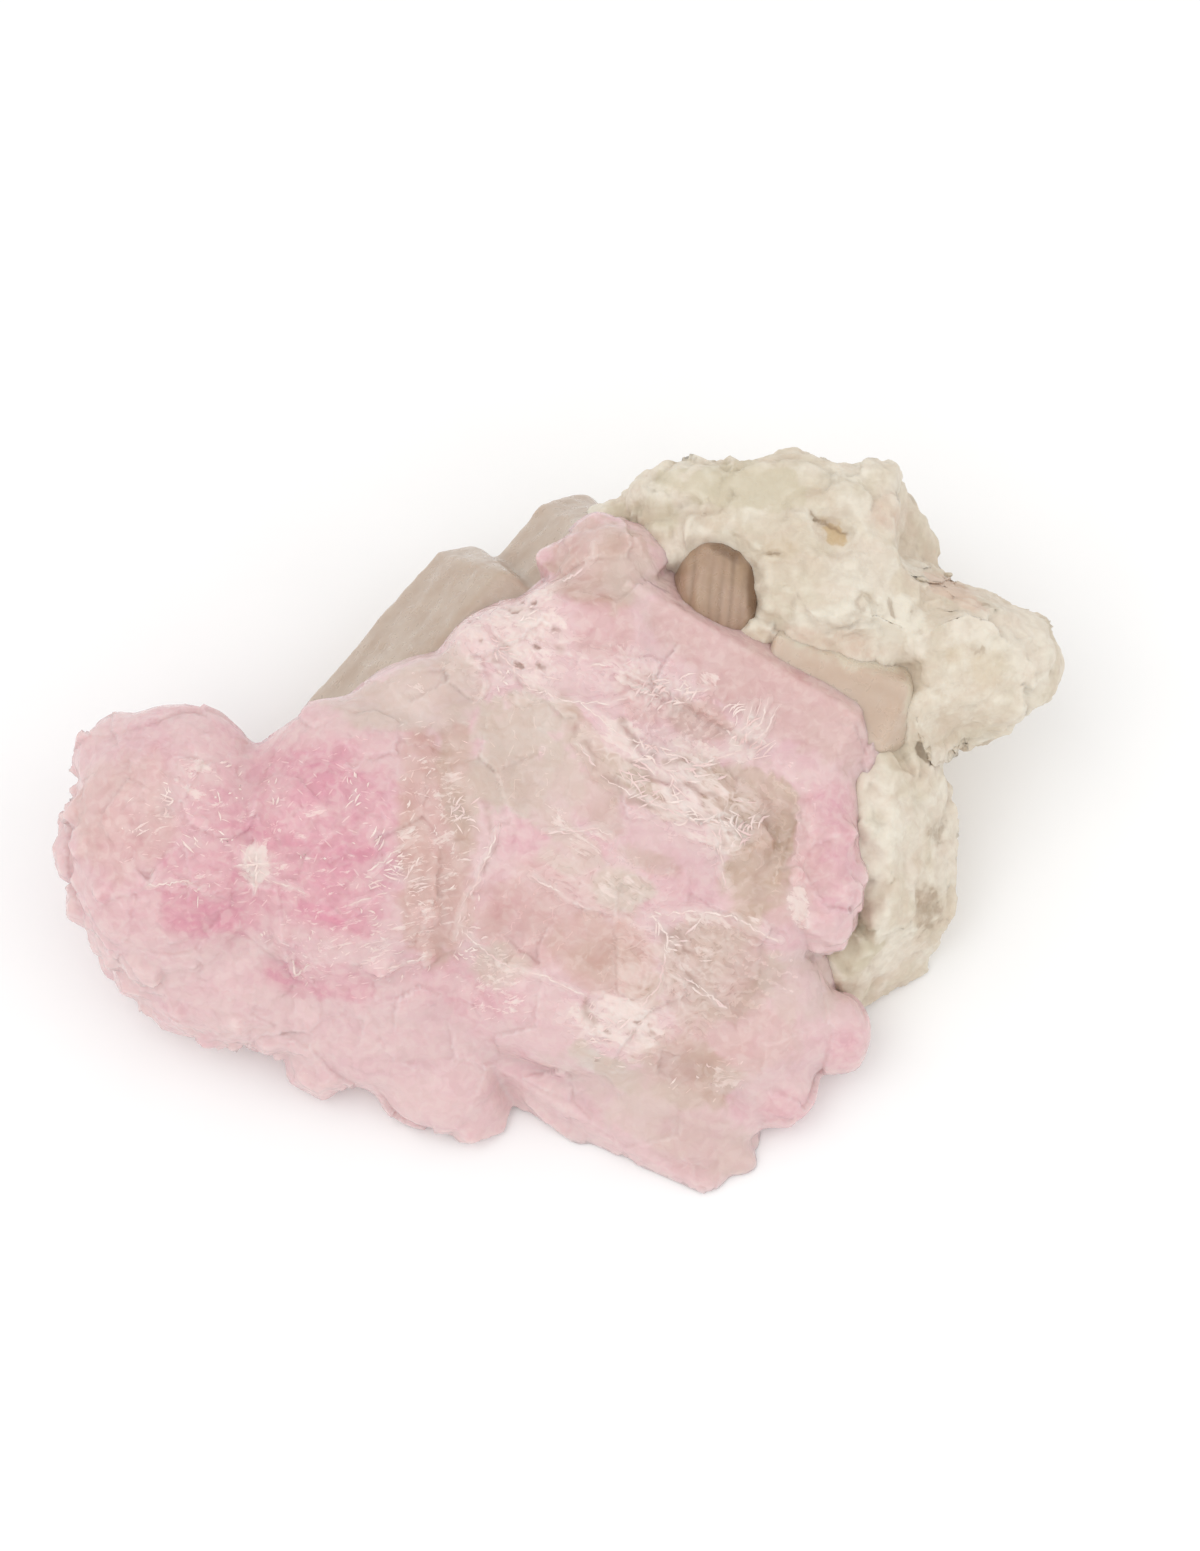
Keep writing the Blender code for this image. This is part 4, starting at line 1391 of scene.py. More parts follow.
@dataclass
class RoseQuartz:
    """The pink quartz: domes, bands and fans under packed crystals, etched in its middle.

    Attributes:
        voxel: Grain of the skin, in millimetres.
        most_triangles: The most that the piece may have.
        roundness: How square the lumps are under their crystals.
        sink: How deep the crystals stand in the lumps.
        growth: The way that parallel crystals grow.
        fine_spacing: From one fine crystal to the next.
        row_spacing: Area of a packed crystal's place, as a share of its spacing squared.
        buried_share: Where another lump hides a crystal, as a share of that lump.
        lowest: Height over the base below which no crystal stands.
        relief: Heights of what is worked into the skin.
        fine_lumps: Lumps that also carry fine crystals.
        smooth_tops: Lumps whose upper side stays bare.
        large: Foot, tip, radius and pointed share of the large crystals.
        blushes: Where the pink is deep. The other patches are where the stone is warm, smoky,
            milky, veiled, flaked, etched, sparkling, pitted, domed or flat.
        ripples: Shell-like arcs.
        seams: White ridges.
        gaps: Dark slots beside the ridges, their darkness partly painted shade.
        hatches: Tufts of fine strokes.
    """

    voxel: float = 0.2
    quick_voxel: float = 0.34
    most_triangles: int = 160000
    roundness: float = 2.7
    sink: float = 0.6
    growth: Spot = (0.22, 0.38, 0.9)
    fine_spacing: float = 1.7
    row_spacing: float = 0.866
    buried_share: float = 0.97
    lowest: float = 2.5
    relief: Relief = Relief()
    fine_lumps: tuple[str, ...] = (
        "left_dome",
        "heart_dome",
        "left_corner",
        "left_skirt",
        "lower_band",
        "lower_tip",
    )
    smooth_tops: tuple[str, ...] = (
        "left_dome",
        "heart_dome",
        "left_corner",
        "middle",
        "upper_ridge",
    )
    large: tuple = (
        ((3.6, 15.2, -4.6), (25.0, 2.8, -4.8), 5.4, 0.2),
        ((-4.2, -16.6, -7.0), (14.0, -27.2, -7.2), 3.6, 0.1),
        ((0.6, -14.8, -6.4), (15.0, -24.8, -6.8), 3.6, 0.2),
    )
    blushes: tuple[Patch, ...] = patches(
        (-25.1, -5.2, 5.5, 4.2, 0, 1.0), (-16.3, -4.6, 5.4, 4.8, 0, 1.0, 0.2),
        (-18.8, -1.0, 11.5, 8.4, 0, 0.7), (-17.0, -2.0, 7.6, 7.0, 0, 0.85, 0.2),
        (-25.6, -3.4, 5.2, 4.6, 0, 0.7, 0.3), (-29.0, -3.6, 6.6, 5.6, 0, 0.42),
        (-17.4, -11.8, 4.6, 1.5, -8, 0.8), (-7.0, -12.0, 6.0, 3.0, -20, 0.3),
        (-2.2, -7.6, 5.2, 3.6, -25, 0.45), (-0.6, -2.0, 4.4, 2.4, -20, 0.42),
        (-8.6, -1.4, 2.2, 5.6, 6, 0.5), (8.4, -6.0, 3.4, 2.0, 0, 0.3),
        (20.2, -2.3, 2.6, 6.0, 0, 0.5), (3.4, 14.4, 2.6, 3.8, 10, 0.4),
        (1.2, 18.6, 2.4, 2.2, 0, 0.5), (6.4, 8.4, 2.6, 1.8, -30, 0.3),
        (2.4, -2.2, 2.2, 1.2, 0, 0.5), (8.0, -5.0, 3.4, 1.6, -10, 0.35),
        (14.9, 11.0, 9.6, 4.2, -36, 0.4), (21.2, -17.2, 1.6, 2.0, 0, 0.35),
        (3.2, -10.4, 4.0, 2.6, -20, 0.4), (10.4, -24.2, 4.0, 2.6, -28, 0.3),
        (17.0, -21.6, 2.0, 1.6, 0, 0.35),
    )
    warms: tuple[Patch, ...] = patches(
        (-31.6, 0.2, 4.0, 4.4, 0, 0.5), (-9.0, -1.0, 2.6, 7.4, 8, 1.0),
        (-8.8, -6.4, 3.2, 3.8, 0, 0.9), (6.2, 8.8, 2.4, 1.7, -30, 0.6),
        (10.6, 7.0, 2.6, 1.6, -30, 0.4), (-2.0, -7.8, 4.6, 3.2, -25, 0.65),
        (3.6, -10.0, 5.0, 3.0, -20, 1.0), (13.0, -16.0, 5.0, 3.0, 0, 0.5),
        (1.8, -5.6, 5.0, 2.4, -30, 0.5), (16.0, -3.0, 4.0, 5.0, 0, 0.4),
    )
    windows: tuple[Patch, ...] = patches(
        (14.8, -1.6, 2.4, 5.6, -10, 1.0), (13.0, 1.8, 2.6, 2.4, -20, 1.0),
        (5.4, 3.2, 2.8, 0.9, -36, 0.9), (3.4, 14.6, 2.2, 3.0, 0, 0.3),
        (10.4, 7.2, 2.4, 1.3, -30, 0.3), (3.4, -10.2, 3.0, 1.6, -20, 0.3),
        (11.2, -11.2, 4.4, 4.2, -10, 0.7), (14.3, -11.2, 1.8, 2.8, 8, 0.5, 0.2),
        (9.6, -18.6, 3.6, 2.6, -20, 0.7), (-7.2, 2.6, 1.4, 5.6, 4, 0.7),
        (2.2, 5.4, 1.0, 4.4, 28, 0.75), (12.4, 2.6, 3.2, 1.2, -30, 0.8),
        (7.4, 1.0, 2.0, 0.7, -36, 0.6), (6.2, -13.0, 1.2, 1.4, 0, 0.5),
        (-9.6, 14.4, 2.0, 4.0, -40, 0.6), (3.2, 18.6, 3.8, 3.4, 0, 0.7),
        (10.4, -24.2, 4.0, 2.4, -28, 0.2), (14.9, 11.0, 10.0, 3.6, -36, 0.38),
        (2.0, 1.8, 1.2, 4.6, 42, 0.5), (6.6, -3.0, 2.4, 0.8, -20, 0.5),
    )
    milks: tuple[Patch, ...] = patches(
        (-2.4, 6.6, 3.6, 2.6, -8, 1.0, 0.6), (-3.4, 3.6, 2.6, 3.6, 8, 0.9, 0.7),
        (-0.4, 3.0, 2.4, 2.0, -40, 0.5, 0.6), (0.4, -2.8, 2.2, 1.1, -30, 0.5, 0.6),
        (4.6, -5.0, 2.2, 1.5, -20, 1.0), (0.6, -1.2, 3.8, 1.0, -40, 0.6),
        (-4.2, -10.8, 2.2, 1.6, 0, 0.6), (18.2, -12.2, 3.2, 2.6, 0, 0.4),
        (-12.4, 8.4, 4.4, 1.8, 0, 0.7), (-9.0, 9.8, 3.6, 3.0, 0, 0.7),
        (5.8, 17.6, 2.2, 1.8, 0, 0.35), (8.0, -22.0, 9.0, 2.6, -28, 0.35),
        (3.6, -18.2, 3.4, 0.9, -33, 0.9, 0.5),
    )
    veils: tuple[Patch, ...] = patches(
        (-2.3, 14.0, 3.2, 3.1, 0, 0.82, 0.5), (10.4, 5.1, 2.6, 0.8, -12, 0.9, 0.5),
        (-6.2, 13.4, 1.8, 2.2, 0, 0.6, 0.6), (-1.6, 10.2, 2.8, 0.8, -38, 0.8, 0.5),
        (-10.6, 9.0, 2.6, 1.8, 0, 0.5, 0.6), (13.8, 5.4, 1.3, 2.2, -30, 0.95, 0.6),
        (-21.9, -3.4, 1.3, 1.5, 0, 1.0), (4.6, -14.8, 3.2, 2.1, -10, 1.0),
        (17.8, -6.6, 0.8, 1.7, 10, 1.0), (12.9, -19.1, 1.7, 1.1, 0, 0.6, 0.7),
        (12.2, -1.4, 1.2, 1.4, 0, 0.9), (-26.4, 3.0, 1.8, 1.5, -30, 0.7),
    )
    flakes: tuple[Patch, ...] = patches(
        (5.4, 5.8, 3.8, 1.4, -38, 1.0), (9.6, 3.4, 3.8, 1.7, -24, 1.0),
        (9.8, 0.4, 5.0, 1.9, -30, 0.95), (3.4, 12.0, 2.4, 1.2, 0, 0.7),
        (6.2, 10.2, 3.0, 1.2, -20, 0.8), (10.2, 10.2, 2.0, 0.9, 10, 0.7),
        (12.0, -7.4, 4.4, 0.8, -8, 0.8), (1.6, -1.0, 3.8, 1.4, -40, 0.7),
        (4.6, -4.8, 2.4, 1.6, -20, 0.8), (9.4, -11.0, 4.0, 4.2, 0, 0.62),
        (-5.4, -10.6, 2.6, 1.2, -30, 0.6), (4.8, -17.6, 5.0, 1.2, -30, 0.5),
    )
    etched: tuple[Patch, ...] = patches(
        (-3.4, 13.2, 4.8, 4.6, 0, 0.9), (8.6, 2.4, 7.4, 3.2, -32, 1.0),
        (6.0, 10.0, 5.0, 2.4, -20, 0.7), (3.4, -4.6, 5.0, 3.0, -20, 0.5),
        (8.6, -11.4, 5.2, 5.2, 0, 0.6), (4.4, -15.0, 4.0, 2.6, -12, 0.9),
        (12.4, -1.4, 2.2, 2.2, 0, 0.8),
    )
    sparks: tuple[Patch, ...] = patches(
        (-9.0, -1.6, 3.6, 9.6, 0, 0.7), (-14.4, -8.8, 8.4, 4.0, 0, 0.6),
        (-26.6, -1.6, 5.0, 5.0, 0, 0.55), (-18.0, -1.0, 8.0, 7.0, 0, 0.5),
        (-4.4, -12.0, 3.0, 3.0, 0, 0.8), (9.0, -11.4, 3.0, 3.4, 0, 0.15),
        (11.0, -18.6, 4.0, 2.4, 0, 0.2),
    )
    pitted: tuple[Patch, ...] = patches(
        (-3.0, 13.4, 4.0, 3.8, 0, 1.0, 0.1), (4.0, -15.0, 3.0, 1.9, 0, 0.9, 0.1),
        (10.6, 0.8, 3.8, 1.6, -34, 0.8, 0.1),
    )
    domes: tuple[Patch, ...] = patches(
        (-28.3, -2.2, 10.0, 12.0, 0, 1.0), (-15.4, -2.0, 10.0, 12.0, 0, 1.0),
        (-22.0, -12.0, 14.0, 7.0, -20, 0.8), (19.6, -3.2, 3.4, 7.0, 0, 0.7),
    )
    plates: tuple[Patch, ...] = patches(
        (14.9, 11.0, 10.0, 3.6, -36), (18.2, 5.6, 3.0, 3.6), (6.0, -20.4, 10.0, 2.6, -28, 0.7),
    )
    ripples: tuple[Ripple, ...] = (
        Ripple(Patch((8.4, 7.4), (5.2, 3.6), -24, 1.0), (2.0, 13.0), 0.85, 0.07),
        Ripple(Patch((-2.0, -7.4), (5.6, 4.4), -25, 0.5), (-8.4, -1.6), 1.9, 0.09),
        Ripple(Patch((11.8, -11.6), (5.4, 5.0), 0, 1.0), (17.0, -4.0), 1.1, 0.06),
        Ripple(Patch((-2.4, 4.8), (4.0, 5.4), 0, 0.5), (-14.0, 8.0), 1.5, 0.05),
        Ripple(Patch((16.4, -0.6), (3.4, 6.4), 0, 0.7), (9.0, -2.0), 1.4, 0.07),
    )
    seams: tuple[Seam, ...] = (
        Seam(((-0.5, 17.2), (1.3, 17.9), (2.4, 19.0), (2.9, 20.1))),
        Seam(((-4.3, 12.2), (-2.0, 9.6), (0.4, 8.7), (3.7, 8.4), (5.7, 9.1), (7.0, 10.6))),
        Seam(((7.2, 9.5), (8.3, 10.2))),
        Seam(((9.3, 9.2), (11.2, 9.5))),
        Seam(((15.5, 8.8), (14.9, 7.0), (13.4, 5.6), (12.1, 4.9)), 0.3, 0.14),
        Seam(((14.3, 8.4), (13.9, 6.8), (12.7, 5.7))),
        Seam(((11.9, -0.6), (12.0, -2.6), (12.3, -4.8))),
        Seam(((-4.2, -0.4), (-5.0, -2.6), (-6.2, -5.2))),
        Seam(((16.2, 8.4), (15.6, 6.8), (14.2, 5.2))),
        Seam(((2.0, 8.4), (4.5, 6.2), (7.8, 4.9), (10.6, 4.0), (13.6, 5.1)), 0.34, 0.14),
        Seam(
            ((1.5, 5.6), (3.7, 2.8), (7.2, 1.0), (9.3, 0.1), (12.5, -0.2), (14.2, -1.3)),
            width=0.34,
            height=0.14,
        ),
        Seam(((-1.9, -4.2), (0.3, -5.3), (2.2, -6.5))),
        Seam(((-0.6, -1.0), (2.9, -0.7), (4.0, -1.2))),
        Seam(((-5.6, -4.3), (-6.9, -6.3), (-7.4, -8.8))),
        Seam(((-6.8, -8.4), (-4.0, -10.6), (-0.6, -11.6), (2.0, -13.0))),
        Seam(((7.0, -7.0), (8.1, -8.6), (7.9, -10.6), (7.4, -12.4), (6.1, -13.6)), 0.32, 0.14),
        Seam(((8.0, -8.8), (9.2, -9.3))),
        Seam(((8.8, -11.4), (10.6, -12.4), (12.3, -13.9)), 0.28, 0.1),
        Seam(((6.6, -7.2), (9.4, -6.7), (12.8, -7.1), (16.2, -9.0)), 0.34, 0.14),
        Seam(((10.0, -12.5), (12.5, -13.9))),
        Seam(((-29.7, -4.9), (-27.2, -4.5), (-25.7, -4.8)), 0.16, 0.04),
        Seam(((-21.5, -4.3), (-18.2, -5.4)), 0.16, 0.04),
        Seam(((-13.6, -3.7), (-10.6, -1.6)), 0.16, 0.04),
        Seam(((-15.2, -6.2), (-13.6, -5.8)), 0.16, 0.04),
        Seam(((-19.4, -10.3), (-19.2, -11.5), (-18.2, -10.7)), 0.16, 0.04),
        Seam(((-12.2, -10.9), (-9.1, -9.9)), 0.16, 0.04),
        Seam(((-23.4, -3.4), (-20.4, -3.2)), 0.16, 0.04),
        Seam(((-21.9, -1.8), (-22.0, -5.4)), 0.16, 0.04),
        Seam(((-23.0, -2.2), (-20.9, -4.6)), 0.16, 0.04),
    )
    gaps: tuple[Seam, ...] = (
        Seam(((1.1, 7.6), (2.0, 5.4), (3.5, 3.2), (6.1, 1.4), (7.6, 0.6)), 0.24),
        Seam(((4.6, 6.9), (6.1, 5.4), (8.3, 4.3), (10.4, 3.5)), 0.28),
        Seam(((7.9, 2.8), (10.3, 2.1), (11.9, 1.4)), 0.3),
        Seam(((5.2, 4.4), (6.6, 3.2), (8.6, 2.0)), 0.2),
        Seam(((9.4, 0.6), (11.2, -0.2), (12.4, -1.6)), 0.24),
        Seam(((8.8, 7.6), (8.2, 6.4)), 0.22, 0.08, 0.7),
        Seam(((7.6, -8.1), (9.0, -8.9), (10.4, -10.4)), 0.34),
        Seam(((9.4, -11.4), (10.4, -12.8)), 0.26),
        Seam(((2.0, -13.2), (2.4, -14.7)), 0.24),
        Seam(((5.4, -15.4), (7.0, -15.9)), 0.2, 0.08, 0.8),
        Seam(((-4.2, 11.6), (-2.7, 9.8), (-0.9, 8.9)), 0.22, 0.08, 0.8),
        Seam(((-4.6, 13.6), (-3.1, 12.2)), 0.2),
        Seam(((-3.4, 15.6), (-1.8, 15.2)), 0.18),
        Seam(((-1.0, 13.0), (0.4, 12.4)), 0.18),
        Seam(((-5.4, 1.4), (-4.3, -1.5), (-5.0, -3.7)), 0.22, 0.08, 0.7),
        Seam(((14.9, 3.6), (15.6, -1.0), (14.6, -6.0)), 0.3, 0.1, 0.6),
        Seam(((-6.0, -9.2), (-3.4, -11.0)), 0.24, 0.08, 0.6),
    )
    hatches: tuple[Hatch, ...] = (
        Hatch(Patch((-8.6, 0.4), (3.0, 7.0)), 18, 14, 44, (0.5, 1.5)),
        Hatch(Patch((-12.0, -3.6), (3.0, 2.0), -30), 9, 20, 24, (0.7, 1.6)),
        Hatch(Patch((-12.6, -9.4), (6.0, 3.2)), 9, 10, 60, (0.4, 1.2)),
        Hatch(Patch((-19.0, -3.0), (9.0, 6.4)), 26, 10, 60, (0.2, 0.9)),
        Hatch(Patch((-27.0, 0.0), (4.4, 5.4)), 17, -40, 60, (0.3, 1.4)),
        Hatch(Patch((8.6, 2.4), (5.6, 2.6), -34), 30, -28, 24, (0.8, 2.2)),
        Hatch(Patch((13.4, 6.2), (1.2, 2.4), 30), 9, 62, 16, (1.0, 2.6)),
        Hatch(Patch((6.0, 10.4), (4.4, 1.4), -10), 14, 22, 24, (0.7, 1.6)),
        Hatch(Patch((12.4, -1.4), (1.6, 1.2)), 9, 86, 20, (0.8, 1.8)),
        Hatch(Patch((8.4, -9.6), (1.8, 2.6)), 7, 60, 40, (0.6, 1.8)),
        Hatch(Patch((4.4, -14.8), (3.2, 2.0)), 16, 6, 50, (0.4, 1.4)),
        Hatch(Patch((-6.4, -7.2), (0.6, 3.0)), 10, 20, 50, (0.4, 1.0)),
        Hatch(Patch((10.2, -19.0), (4.0, 1.6), -20), 4, -10, 60, (0.3, 0.9)),
        Hatch(Patch((-3.2, 13.2), (3.8, 3.2)), 16, -8, 30, (0.5, 1.6)),
    )

    def build(self) -> Piece:
        """Models the cluster on the display face."""
        body = joined(round_bodies((*ROSE_LUMPS, *ROSE_SADDLES)), "cluster_body")
        fuse(body, 0.5, 5)
        self.press(body)
        crystals = self.grow_crystals()
        large = [long_crystal(*given) for given in self.large]
        cluster = joined([body, *crystals, *large], "rose_quartz_cluster")
        fuse(cluster, self.voxel, 3)
        self.carve(cluster)
        thin_to(cluster, self.most_triangles)
        return cluster

    def etch(self, cluster: Piece) -> Piece:
        """Lays the etched ridges over the cluster."""
        return Etchings(self.hatches, self.seams).build(cluster)

    def press(self, body: Piece) -> None:
        """Folds the body a little and presses its hollows."""
        skin = Skin(body)
        skin.push(0.6 * Grain(3).smooth(skin.points, 6.0))
        for hollow in ROSE_HOLLOWS:
            hollow.press(skin)
        skin.write()

    def sites(self) -> list[tuple[Matrix, Habit]]:
        """A transform for the unit crystal, and its habit, for each crystal."""
        found = []
        for lump in filter(lambda kept: kept.spacing, ROSE_LUMPS):
            found += self.sites_on(lump, lump.spacing, (1.45, 1.9), False)
            if lump.name in self.fine_lumps:
                found += self.sites_on(lump, self.fine_spacing, (0.9, 1.4), True)
        return found

    def sites_on(
        self, lump: Lump, spacing: float, widths: Face, fine: bool
    ) -> list[tuple[Matrix, Habit]]:
        """The crystals that stand on one lump's open skin.

        Args:
            lump: The lump.
            spacing: From one crystal to the next.
            widths: Least and most width, in spacings.
            fine: Whether these are the fine crystals of the rim.

        Returns:
            A transform and a habit for each crystal.
        """
        growth = Vector(self.growth).normalized()
        chance = random.Random(f"{lump.name} {spacing}")
        others = [*ROSE_LUMPS, *MATRIX_LUMPS]
        found = []
        for way in even_ways(round(lump.skin_area() / (self.row_spacing * spacing**2))):
            point, outward = lump.skin_point(way, self.roundness)
            facing = max(outward.z, 0.0)
            lean = Vector(chance.uniform(-0.3, 0.3) for _ in range(3)) * (1.0 - 0.7 * facing)
            width = spacing * chance.uniform(*widths)
            rise = chance.uniform(-0.35, 0.4) * (0.5 if fine else 1.0)
            twist = chance.uniform(0.0, 60.0)
            habit = chance.choice(list(Habit))
            buried = any(o is not lump and o.holds(point, self.buried_share) for o in others)
            low = (FACE.matrix() @ (point * MM)).z < self.lowest * MM
            smooth = facing > (0.3 if fine else 0.8 - 0.6 * lump.parallel)
            smooth = smooth or (lump.name in self.smooth_tops and outward.y > 0.3)
            if buried or low or smooth or outward.z < -0.5 or self.in_hollow(point):
                continue
            axis = (outward + lean).normalized().lerp(growth, lump.parallel).normalized()
            depth = 0.1 + 0.9 * facing if fine else self.sink + 0.75 * facing
            collar = point - axis * depth
            height = max(width * (0.5 if fine else lump.point) + rise, 0.2)
            size = Matrix.Diagonal((width * 0.5 * MM, width * 0.5 * MM, height * MM, 1.0))
            turn = axis.to_track_quat("Z", "Y").to_matrix().to_4x4()
            spin = Matrix.Rotation(math.radians(twist), 4, "Z")
            found.append((Matrix.Translation(collar * MM) @ turn @ spin @ size, habit))
        return found

    def in_hollow(self, point: Vector) -> bool:
        """True where a point lies in one of the hollows, away from its rim."""
        return any(
            (point - Vector(hollow.centre)).to_2d().length < 0.85 * hollow.radius
            for hollow in ROSE_HOLLOWS
        )

    def grow_crystals(self) -> list[Piece]:
        """Copies the crystals to their sites."""
        templates = {habit: unit_crystal(habit) for habit in Habit}
        crystals = [copy_of(templates[habit], place) for place, habit in self.sites()]
        for template in templates.values():
            bpy.data.objects.remove(template)
        LOG.info("rose quartz: %d crystals", len(crystals))
        return crystals

    def carve(self, cluster: Piece) -> None:
        """Etches the middle, raises the seams and paints the masks that the finish reads."""
        skin = Skin(cluster)
        relief = self.relief
        fray = skin.fray(5)
        front = skin.front
        edge = skin.blurred(skin.crests(), 2)
        etch = most(self.etched, skin.face, fray) * front
        domes = most(self.domes, skin.face, fray)
        sway = np.stack([Grain(k).smooth(skin.points, 1.4) for k in (21, 33)], axis=1) * 0.5
        seams = [(seam.height, seam.nearness(skin.face + sway)) for seam in self.seams]
        raised = np.max([height * near for height, near in seams], axis=0) * front
        feather = Grain(41).ridges(skin.slanted(-34.0), (3.0, 0.8, 1.4), 3.0)
        slits = Grain(17).cells(skin.slanted(-20.0) / np.array((2.6, 1.0, 1.0)), 0.9)[0]
        pit = most(self.pitted, skin.face, fray) * front * (1.0 - smooth_step(0.16, 0.27, slits))
        facet = Grain(8).cells(skin.points, 1.5)[2]
        block = Grain(9).cells(skin.points, 4.6)[2]
        waves = [ripple.wave(skin.face, fray) for ripple in self.ripples]
        rings = np.max([crest for _, crest in waves], axis=0) * front
        torn = skin.face + 1.6 * sway + 0.12 * fray[:, None]
        slots = np.max([gap.nearness(torn) for gap in self.gaps], axis=0) * front
        slots *= smooth_step(-0.45, 0.15, Grain(61).smooth(skin.points, 0.9))
        height = raised + relief.feather * etch * feather - relief.pit * pit - relief.slot * slots
        flat = 1.0 - relief.flatness * most(self.plates, skin.face, fray)
        facets = (relief.facet + relief.dome_facet * domes) * facet
        blocks = (relief.block + relief.side_block * (1.0 - front)) * block
        height += flat * (facets + blocks)
        height += sum(wave for wave, _ in waves) * front
        skin.push(height + relief.grain * Grain(2).fractal(skin.points, 0.8, 2))
        skin.write()
        skin.paint("blush", most(self.blushes, skin.face, fray))
        softs = (
            ("warm", self.warms, 0.3),
            ("smoke", self.windows, 0.25),
            ("milk", self.milks, 0.3),
            ("veil", self.veils, 0.35),
            ("flake", self.flakes, 0.6),
            ("spark", self.sparks, 0.6),
        )
        for name, parts, soft in softs:
            skin.paint(name, most(parts, skin.face, fray, soft) * front)
        # painted highlight: the brush flakes on the sparkling patches stand for glints
        skin.paint("brush", 0.85 * most(self.sparks, skin.face, fray) * front)
        skin.paint("etch", etch)
        nearness = np.max([near for _, near in seams], axis=0)
        bright = (0.55 * nearness * front, 0.4 * etch * feather, 0.2 * rings)
        skin.paint("seam", np.max(bright, axis=0))
        # pits and slots are painted dark, partly as shade in them
        skin.paint("pit", np.maximum(pit, 0.7 * slots))
        # painted highlight: marks the crests for the finish to lighten
        skin.paint("edge", smooth_step(0.004, 0.03, edge))


